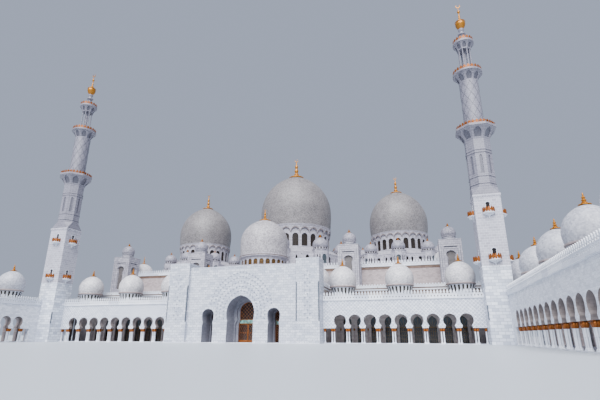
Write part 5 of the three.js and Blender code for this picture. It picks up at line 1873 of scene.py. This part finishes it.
@dataclass
class Minaret:
    """A minaret: a square shaft with balconies, an octagonal stage, a round stage and a columned lantern."""

    x: float = 7.207
    half: float = 0.346
    shaft_top: float = 3.864
    slot: Span = (0.53, 0.9)
    white_top: float = 1.9
    cornice: float = 0.36
    octagon_foot: float = 4.08
    octagon: float = 0.362
    corbel_foot: float = 5.56
    first_floor: float = 5.96
    first_rim: float = 0.59
    shaft: float = 0.275
    round_top: float = 7.56
    second_floor: float = 7.9
    second_rim: float = 0.435
    lantern_foot: float = 8.01
    lantern: float = 0.198
    lantern_top: float = 8.78
    third_rim: float = 0.318
    third_top: float = 9.05
    neck_top: float = 9.6
    ball_z: float = 9.817
    tip: float = 10.6
    balconies: tuple[float, ...] = (2.085, 3.36)
    balcony: float = 0.165
    mouldings: tuple[float, ...] = (4.11, 4.19, 4.41, 5.13, 5.21)

    def square_shaft(self) -> Form:
        """Makes the square shaft, its corner slots, door niches and balcony slabs. Its whiter foot is painted 4."""
        h, skin, top = self.half, 0.03, self.shaft_top - GAP
        door = Arch(0.05, 0.19, 0.044, 0.205, 0.058, 0.24, 0.285)
        hole, whole = door.outline(0.0, 5), rectangle(wide(h), (-LIFT, top))
        # The core, painted 1 in the tinted glass, is painted shade seen through the door niches.
        form = block(wide(h - skin), wide(h - skin), (-LIFT, top)).painted(1)
        face = plate([whole, *(raised(hole, floor) for floor in self.balconies)], skin)
        face.put(rim(door.outline(0.0, 5, 0.0, 0.014), hole, 0.006).painted(3), *[at(z=z) for z in self.balconies])
        for low in face.sliced(2, [self.white_top]).bm.faces:
            if low.material_index == 0 and low.calc_center_median().z < self.white_top:
                low.material_index = 4
        form.put(walls_round([face], 4, lambda z: h))
        for z, edge in (((top - 0.07, top - 0.05), self.cornice - 0.006), ((top - 0.05, top), self.cornice)):
            form.put(block(wide(edge), wide(edge), z))
        # The dark corner strips, painted 2, are painted shade in the slots.
        strip = block(wide(0.013), wide(0.013), self.slot).painted(2)
        form.put(strip, *[at(x, y) for x in wide(h) for y in wide(h)])
        edge = self.balcony
        corbel = [(0, -0.19), (0.012, -0.17), (0.026, -0.13), (0.06, -0.105), (0.115, -0.085), (edge - 0.012, -0.06),
                  (edge, -0.045), (edge, -0.03), (edge - 0.02, -0.03), (edge - 0.02, 0), (0, 0)]
        for floor in self.balconies:
            form.put(turned(raised(corbel, floor), 24).painted(3), *around(4, h))
        return form

    def balcony_rails(self) -> Form:
        """Makes the balconies' railings, outside the shaft's faces only."""
        half_ring = Form().put(Railing(0.15).post(), *[
            at(z=-0.03, turn=math.radians(-78 + 26 * k)) @ at(y=-self.balcony + 0.012) for k in range(7)])
        return Form().put(half_ring, *[at(z=floor) @ m for floor in self.balconies for m in around(4, self.half)])

    def corbel(self, foot: float, top: float, low: float, high: float, sides: int = 8) -> Form:
        """Makes a flaring ring of pointed niches under a gallery.

        Args:
            foot: the height where it leaves the shaft.
            top: the height where it reaches the gallery.
            low: the shaft's corner radius.
            high: the gallery's corner radius.
            sides: how many niches there are.

        Returns:
            The ring and the core behind it, which is painted 1 as shade.
        """
        tall = top - foot
        curve = [(foot + tall * t, low + (high - low) * t ** 1.7) for t in (0, 0.15, 0.3, 0.45, 0.6, 0.75, 0.9, 1.0)]
        side = low * math.sin(math.pi / sides)
        niche = pointed(0.62 * side, foot + 0.18 * tall, foot + 0.5 * tall, foot + 0.9 * tall, 5)
        panel = plate([rectangle((-side, side), (foot, top)), niche], 0.02)
        panel.sliced(2, [foot + tall * k / 6 for k in range(1, 6)])
        flat = math.cos(math.pi / sides)
        form = walls_round([panel], sides, lambda z: flat * lerp(curve, z))
        core = [(0, foot)] + [(r - 0.028, z) for z, r in curve] + [(0, top)]
        return form.put(turned(core, sides, math.pi / sides - math.pi / 2).painted(1))

    def octagon_stage(self) -> Form:
        """Makes the sloping step from square to octagon, the stage with its blind niches, and the first gallery."""
        r, h, foot, top = self.octagon, self.half, self.shaft_top, self.corbel_foot
        form = Form()
        for x, y in ((-h, -h), (h, -h), (h, h), (-h, h)):
            form.bm.verts.new((x, y, foot))
        for k in range(8):
            turn = (k + 0.5) * math.pi / 4
            form.bm.verts.new(((r + 0.01) * math.cos(turn), (r + 0.01) * math.sin(turn), self.octagon_foot + 0.03))
        bmesh.ops.convex_hull(form.bm, input=form.bm.verts)
        # The core behind the blind niches and the rings under the beads are painted 1: painted shade.
        form.put(cylinder(r - 0.016, (foot + 0.001, top + 0.01), 8, EIGHTH).painted(1))
        flat = r * math.cos(EIGHTH)
        niche = pointed(0.04, 4.5, 5.0, 5.07, 5)
        panel = plate([rectangle(wide(r * math.sin(EIGHTH)), (foot + 0.001, top)), niche], 0.015)
        panel.put(rim([(x * 1.3, z + (0.012 if z > 4.9 else 0)) for x, z in niche], niche, 0.004))
        form.put(walls_round([panel], 8, lambda z: flat))
        bead = [(r - 0.02, 0), (r + 0.012, 0), (r + 0.014, 0.012), (r + 0.004, 0.026), (r - 0.02, 0.026),
                (r - 0.02, 0)]
        for z in self.mouldings:
            form.put(turned(raised(bead, z), 8, EIGHTH))
            form.put(hoop((r - 0.02, r + 0.004), (z - 0.014, z), 8, EIGHTH).painted(1))
        edge, floor = self.first_rim, self.first_floor
        form.put(self.corbel(top, floor - 0.05, r, edge - 0.01))
        gallery = [(0, -0.05), (edge, -0.05), (edge, 0.01), (edge - 0.01, 0.02), (edge - 0.03, 0.02), (edge - 0.03, 0),
                   (0, 0)]
        return form.put(turned(raised(gallery, floor), 8, EIGHTH))

    def ribs(self) -> Form:
        """Makes the crossing spiral ribs of the round stage, painted dark grey as the shade of grooves."""
        r, tall, steps = self.shaft, 0.022, 22
        z0 = self.first_floor + 0.02
        form = Form()
        for hand in (1, -1):
            rib = Form()
            corners = ((r - 0.003, z0), (r + 0.005, z0), (r + 0.005, z0 + tall), (r - 0.003, z0 + tall))
            face = rib.bm.faces.new([rib.bm.verts.new((x, 0, z)) for x, z in corners])
            bmesh.ops.spin(rib.bm, geom=[face], cent=(0, 0, 0), axis=(0, 0, 1), angle=hand * math.pi * 1.02,
                           steps=steps, dvec=(0, 0, (self.round_top - z0 - tall) / steps))
            bmesh.ops.recalc_face_normals(rib.bm, faces=rib.bm.faces)
            form.put(rib, *around(8))
        return form

    def round_stage(self) -> Form:
        """Makes the round stage and the second gallery."""
        r, foot, top = self.shaft, self.first_floor + GAP, self.round_top
        form = turned([*raised([(0, 0), (r + 0.012, 0), (r + 0.012, 0.03), (r, 0.04)], foot), (r, top + 0.03),
                       (0, top + 0.03)], 40)
        door = Arch(0.042, 0.14, 0.036, 0.155, 0.05, 0.185, 0.225)
        porch = [rectangle(wide(0.07), (foot, foot + 0.26)), raised(door.outline(0.005, 5), foot)]
        form.put(plate(porch, 0.02), at(y=-r - 0.012))
        edge, floor = self.second_rim, self.second_floor
        form.put(self.corbel(top, floor - 0.04, r, edge - 0.008))
        gallery = [(0, -0.045), (edge, -0.045), (edge, 0.01), (edge - 0.03, 0.01), (edge - 0.03, 0), (0, 0)]
        return form.put(turned(raised(gallery, floor), 40))

    def lantern_stage(self) -> Form:
        """Makes the columned lantern, the third gallery and the turned neck."""
        foot, low, high, r = self.second_floor + GAP, self.lantern_foot, self.lantern_top, self.lantern
        form = turned([(0, foot), (r + 0.02, foot), (r + 0.02, low - 0.01), (r, low), (0, low)], 32)
        column = raised([(0, 0), (0.03, 0), (0.03, 0.02), (0.02, 0.03)], low)
        column += raised([(0.02, -0.05), (0.03, -0.02), (0.03, 0), (0, 0)], high)
        form.put(turned(column, 12), *around(8, r - 0.028, EIGHTH))
        form.put(cylinder(0.05, (low, high), 12))
        edge, top = self.third_rim, self.third_top
        form.put(self.corbel(high - 0.02, top - 0.06, r + 0.01, edge - 0.01))
        neck = [(0, -0.065), (edge, -0.065), (edge, 0), (edge - 0.03, 0), (edge - 0.03, -0.01), (0.12, -0.01),
                (0.075, 0.05), (0.06, 0.11), (0.11, 0.14), (0.115, 0.17), (0.07, 0.2), (0.055, 0.26), (0.062, 0.3),
                (0.12, 0.34), (0.12, 0.37), (0.07, 0.4), (0.06, 0.45), (0.09, 0.5)]
        return form.put(turned([*raised(neck, top), (0.09, self.neck_top), (0, self.neck_top)], 32))

    def finial(self) -> Form:
        """Makes the onion-shaped finial, its spire and crescent."""
        z, tip, middle = self.neck_top + GAP, self.tip, self.ball_z
        onion = [(0.135, -0.1), (0.155, -0.03), (0.152, 0.02), (0.12, 0.09), (0.07, 0.15), (0.035, 0.2), (0.025, 0.26),
                 (0.034, 0.3), (0.02, 0.34), (0.015, 0.42), (0.04, 0.46), (0.045, 0.49), (0.035, 0.52), (0.012, 0.55)]
        form = turned([(0, z), (0.05, z), (0.085, z + 0.03), *raised(onion, middle), (0.009, tip - 0.14),
                       (0, tip - 0.13)], 24)
        collar = [(0.145, 0.05), (0.162, 0.055), (0.162, 0.065), (0.145, 0.07), (0.145, 0.05)]
        form.put(turned(raised(collar, middle), 24))
        return form.put(crescent(0.07), at(z=tip - 0.07))

    def build(self, shop: Workshop) -> None:
        """Makes both minarets' pieces."""
        p = shop.palette
        railing = Railing(0.12)
        rails = railing.around(self.first_rim * math.cos(EIGHTH) - 0.02, self.first_floor + 0.01, 32, 8)
        rails.put(railing.around(self.second_rim - 0.02, self.second_floor + 0.01, 24, 40))
        rails.put(railing.around(self.third_rim - 0.02, self.third_top, 18, 40))
        rails.put(self.balcony_rails())
        shaft = [p.shaft, p.glass, p.slate, p.smooth, p.ashlar]
        for name, form, finishes, nodes in (
                ("square_shaft", self.square_shaft(), shaft, ["minaret_shaft"]),
                ("octagonal_stage", self.octagon_stage(), [p.stage, p.inlay], ["minaret_octagon"]),
                ("round_stage", self.round_stage(), [p.stage, p.inlay], ["minaret_round_shaft"]),
                ("spiral_ribs", self.ribs(), [p.inlay], []),
                ("columned_lantern", self.lantern_stage(), [p.stage, p.inlay], ["minaret_lantern"]),
                ("railings", rails, [p.rust_gold], []),
                ("gilded_finial", self.finial(), [p.gold], ["minaret_finial"])):
            shop.pair(f"minaret_{name}", form.moved(at(self.x)), finishes, nodes)


@dataclass
class Studio:
    """The photograph's viewpoint, a plain floor and soft light."""

    place: tuple[float, float, float] = (5.265, -13.04875, 0.2105)
    pitch: float = 17.93
    yaw: float = 15.84
    roll: float = 0.11
    lens: float = 25.17
    sensor: float = 36.0
    floor_half: float = 400.0
    sun: float = 9.6
    sun_width: float = 58.0
    sun_turn: tuple[float, float, float] = (41.0, 0.0, 2.0)
    sky: float = 0.85

    def build(self) -> None:
        """Makes the camera, the floor and the light."""
        link, radians = bpy.context.scene.collection.objects.link, math.radians
        camera = bpy.data.objects.new("camera", bpy.data.cameras.new("camera"))
        link(camera)
        camera.data.lens = self.lens
        camera.data.sensor_width = self.sensor
        camera.data.clip_end = 2 * self.floor_half
        camera.location = self.place
        turn = Matrix.Rotation(radians(self.yaw), 4, "Z") @ Matrix.Rotation(radians(90 + self.pitch), 4, "X")
        camera.rotation_euler = (turn @ Matrix.Rotation(radians(self.roll), 4, "Z")).to_euler()
        bpy.context.scene.camera = camera

        sheet = Form()
        bmesh.ops.create_grid(sheet.bm, x_segments=1, y_segments=1, size=self.floor_half)
        floor = bpy.data.objects.new("studio_floor", sheet.mesh())
        link(floor)
        floor.data.materials.append(Finish("pale_studio_floor", "b4bac2", 0.45).material)

        light = bpy.data.lights.new("soft_key", "SUN")
        light.energy = self.sun
        light.angle = radians(self.sun_width)
        light.color = (0.97, 0.98, 1.0)
        key = bpy.data.objects.new("soft_key", light)
        key.rotation_euler = [radians(angle) for angle in self.sun_turn]
        link(key)

        world = bpy.data.worlds.new("studio")
        world.use_nodes = True
        sky = world.node_tree.nodes["Background"].inputs
        sky[0].default_value = linear("b6c1d8")
        sky[1].default_value = self.sky
        bpy.context.scene.world = world


def main() -> None:
    """Builds the scene: camera and light, then the building from the ground up."""
    Studio().build()
    shop = Workshop()
    Arcades().build(shop)
    Portal().build(shop)
    Hall().build(shop)
    Vestibule().build(shop)
    main_window = Arch(0.11, 2.95, 0.096, 3.02, 0.115, 3.14, 3.28, 0.8)
    main_cupola = Cupola(0.345, 0.28, 0.32, 3.525, 3.585, 4.0, 4.12, main_window, 2.9)
    main_drum = Drum(1.5, 3.6603, (3.72, 4.275), 0.13, 1.59, (4.60, 4.68), (4.31, 4.51))
    GreatDome("main", 0.0, 2.15, 2.06, 3.39, 3.66, main_drum, 1.602, 5.45, 7.31, 0.345, 0.116, 8.26, main_cupola,
              (0.19, 0.38, 0.65)).build(shop)
    flank_window = Arch(0.09, 2.9, 0.08, 2.94, 0.094, 3.0, 3.08, 0.8)
    flank_cupola = Cupola(0.28, 0.23, 0.265, 3.313, 3.355, 3.69, 3.785, flank_window, 2.86)
    flank_drum = Drum(1.13, 3.4003, (3.435, 3.875), 0.1, 1.195, (4.115, 4.17), (3.915, 4.055))
    GreatDome("flank", 4.56, 1.61, 1.56, 3.185, 3.4, flank_drum, 1.21, 4.68, 6.14, 0.245, 0.081, 6.87, flank_cupola,
              (0.27, 0.43, 0.70)).build(shop)
    Minaret().build(shop)
    log.info("%d triangles in new pieces", shop.triangles)


if __name__ == "__main__":
    logging.basicConfig(level=logging.INFO)
    main()
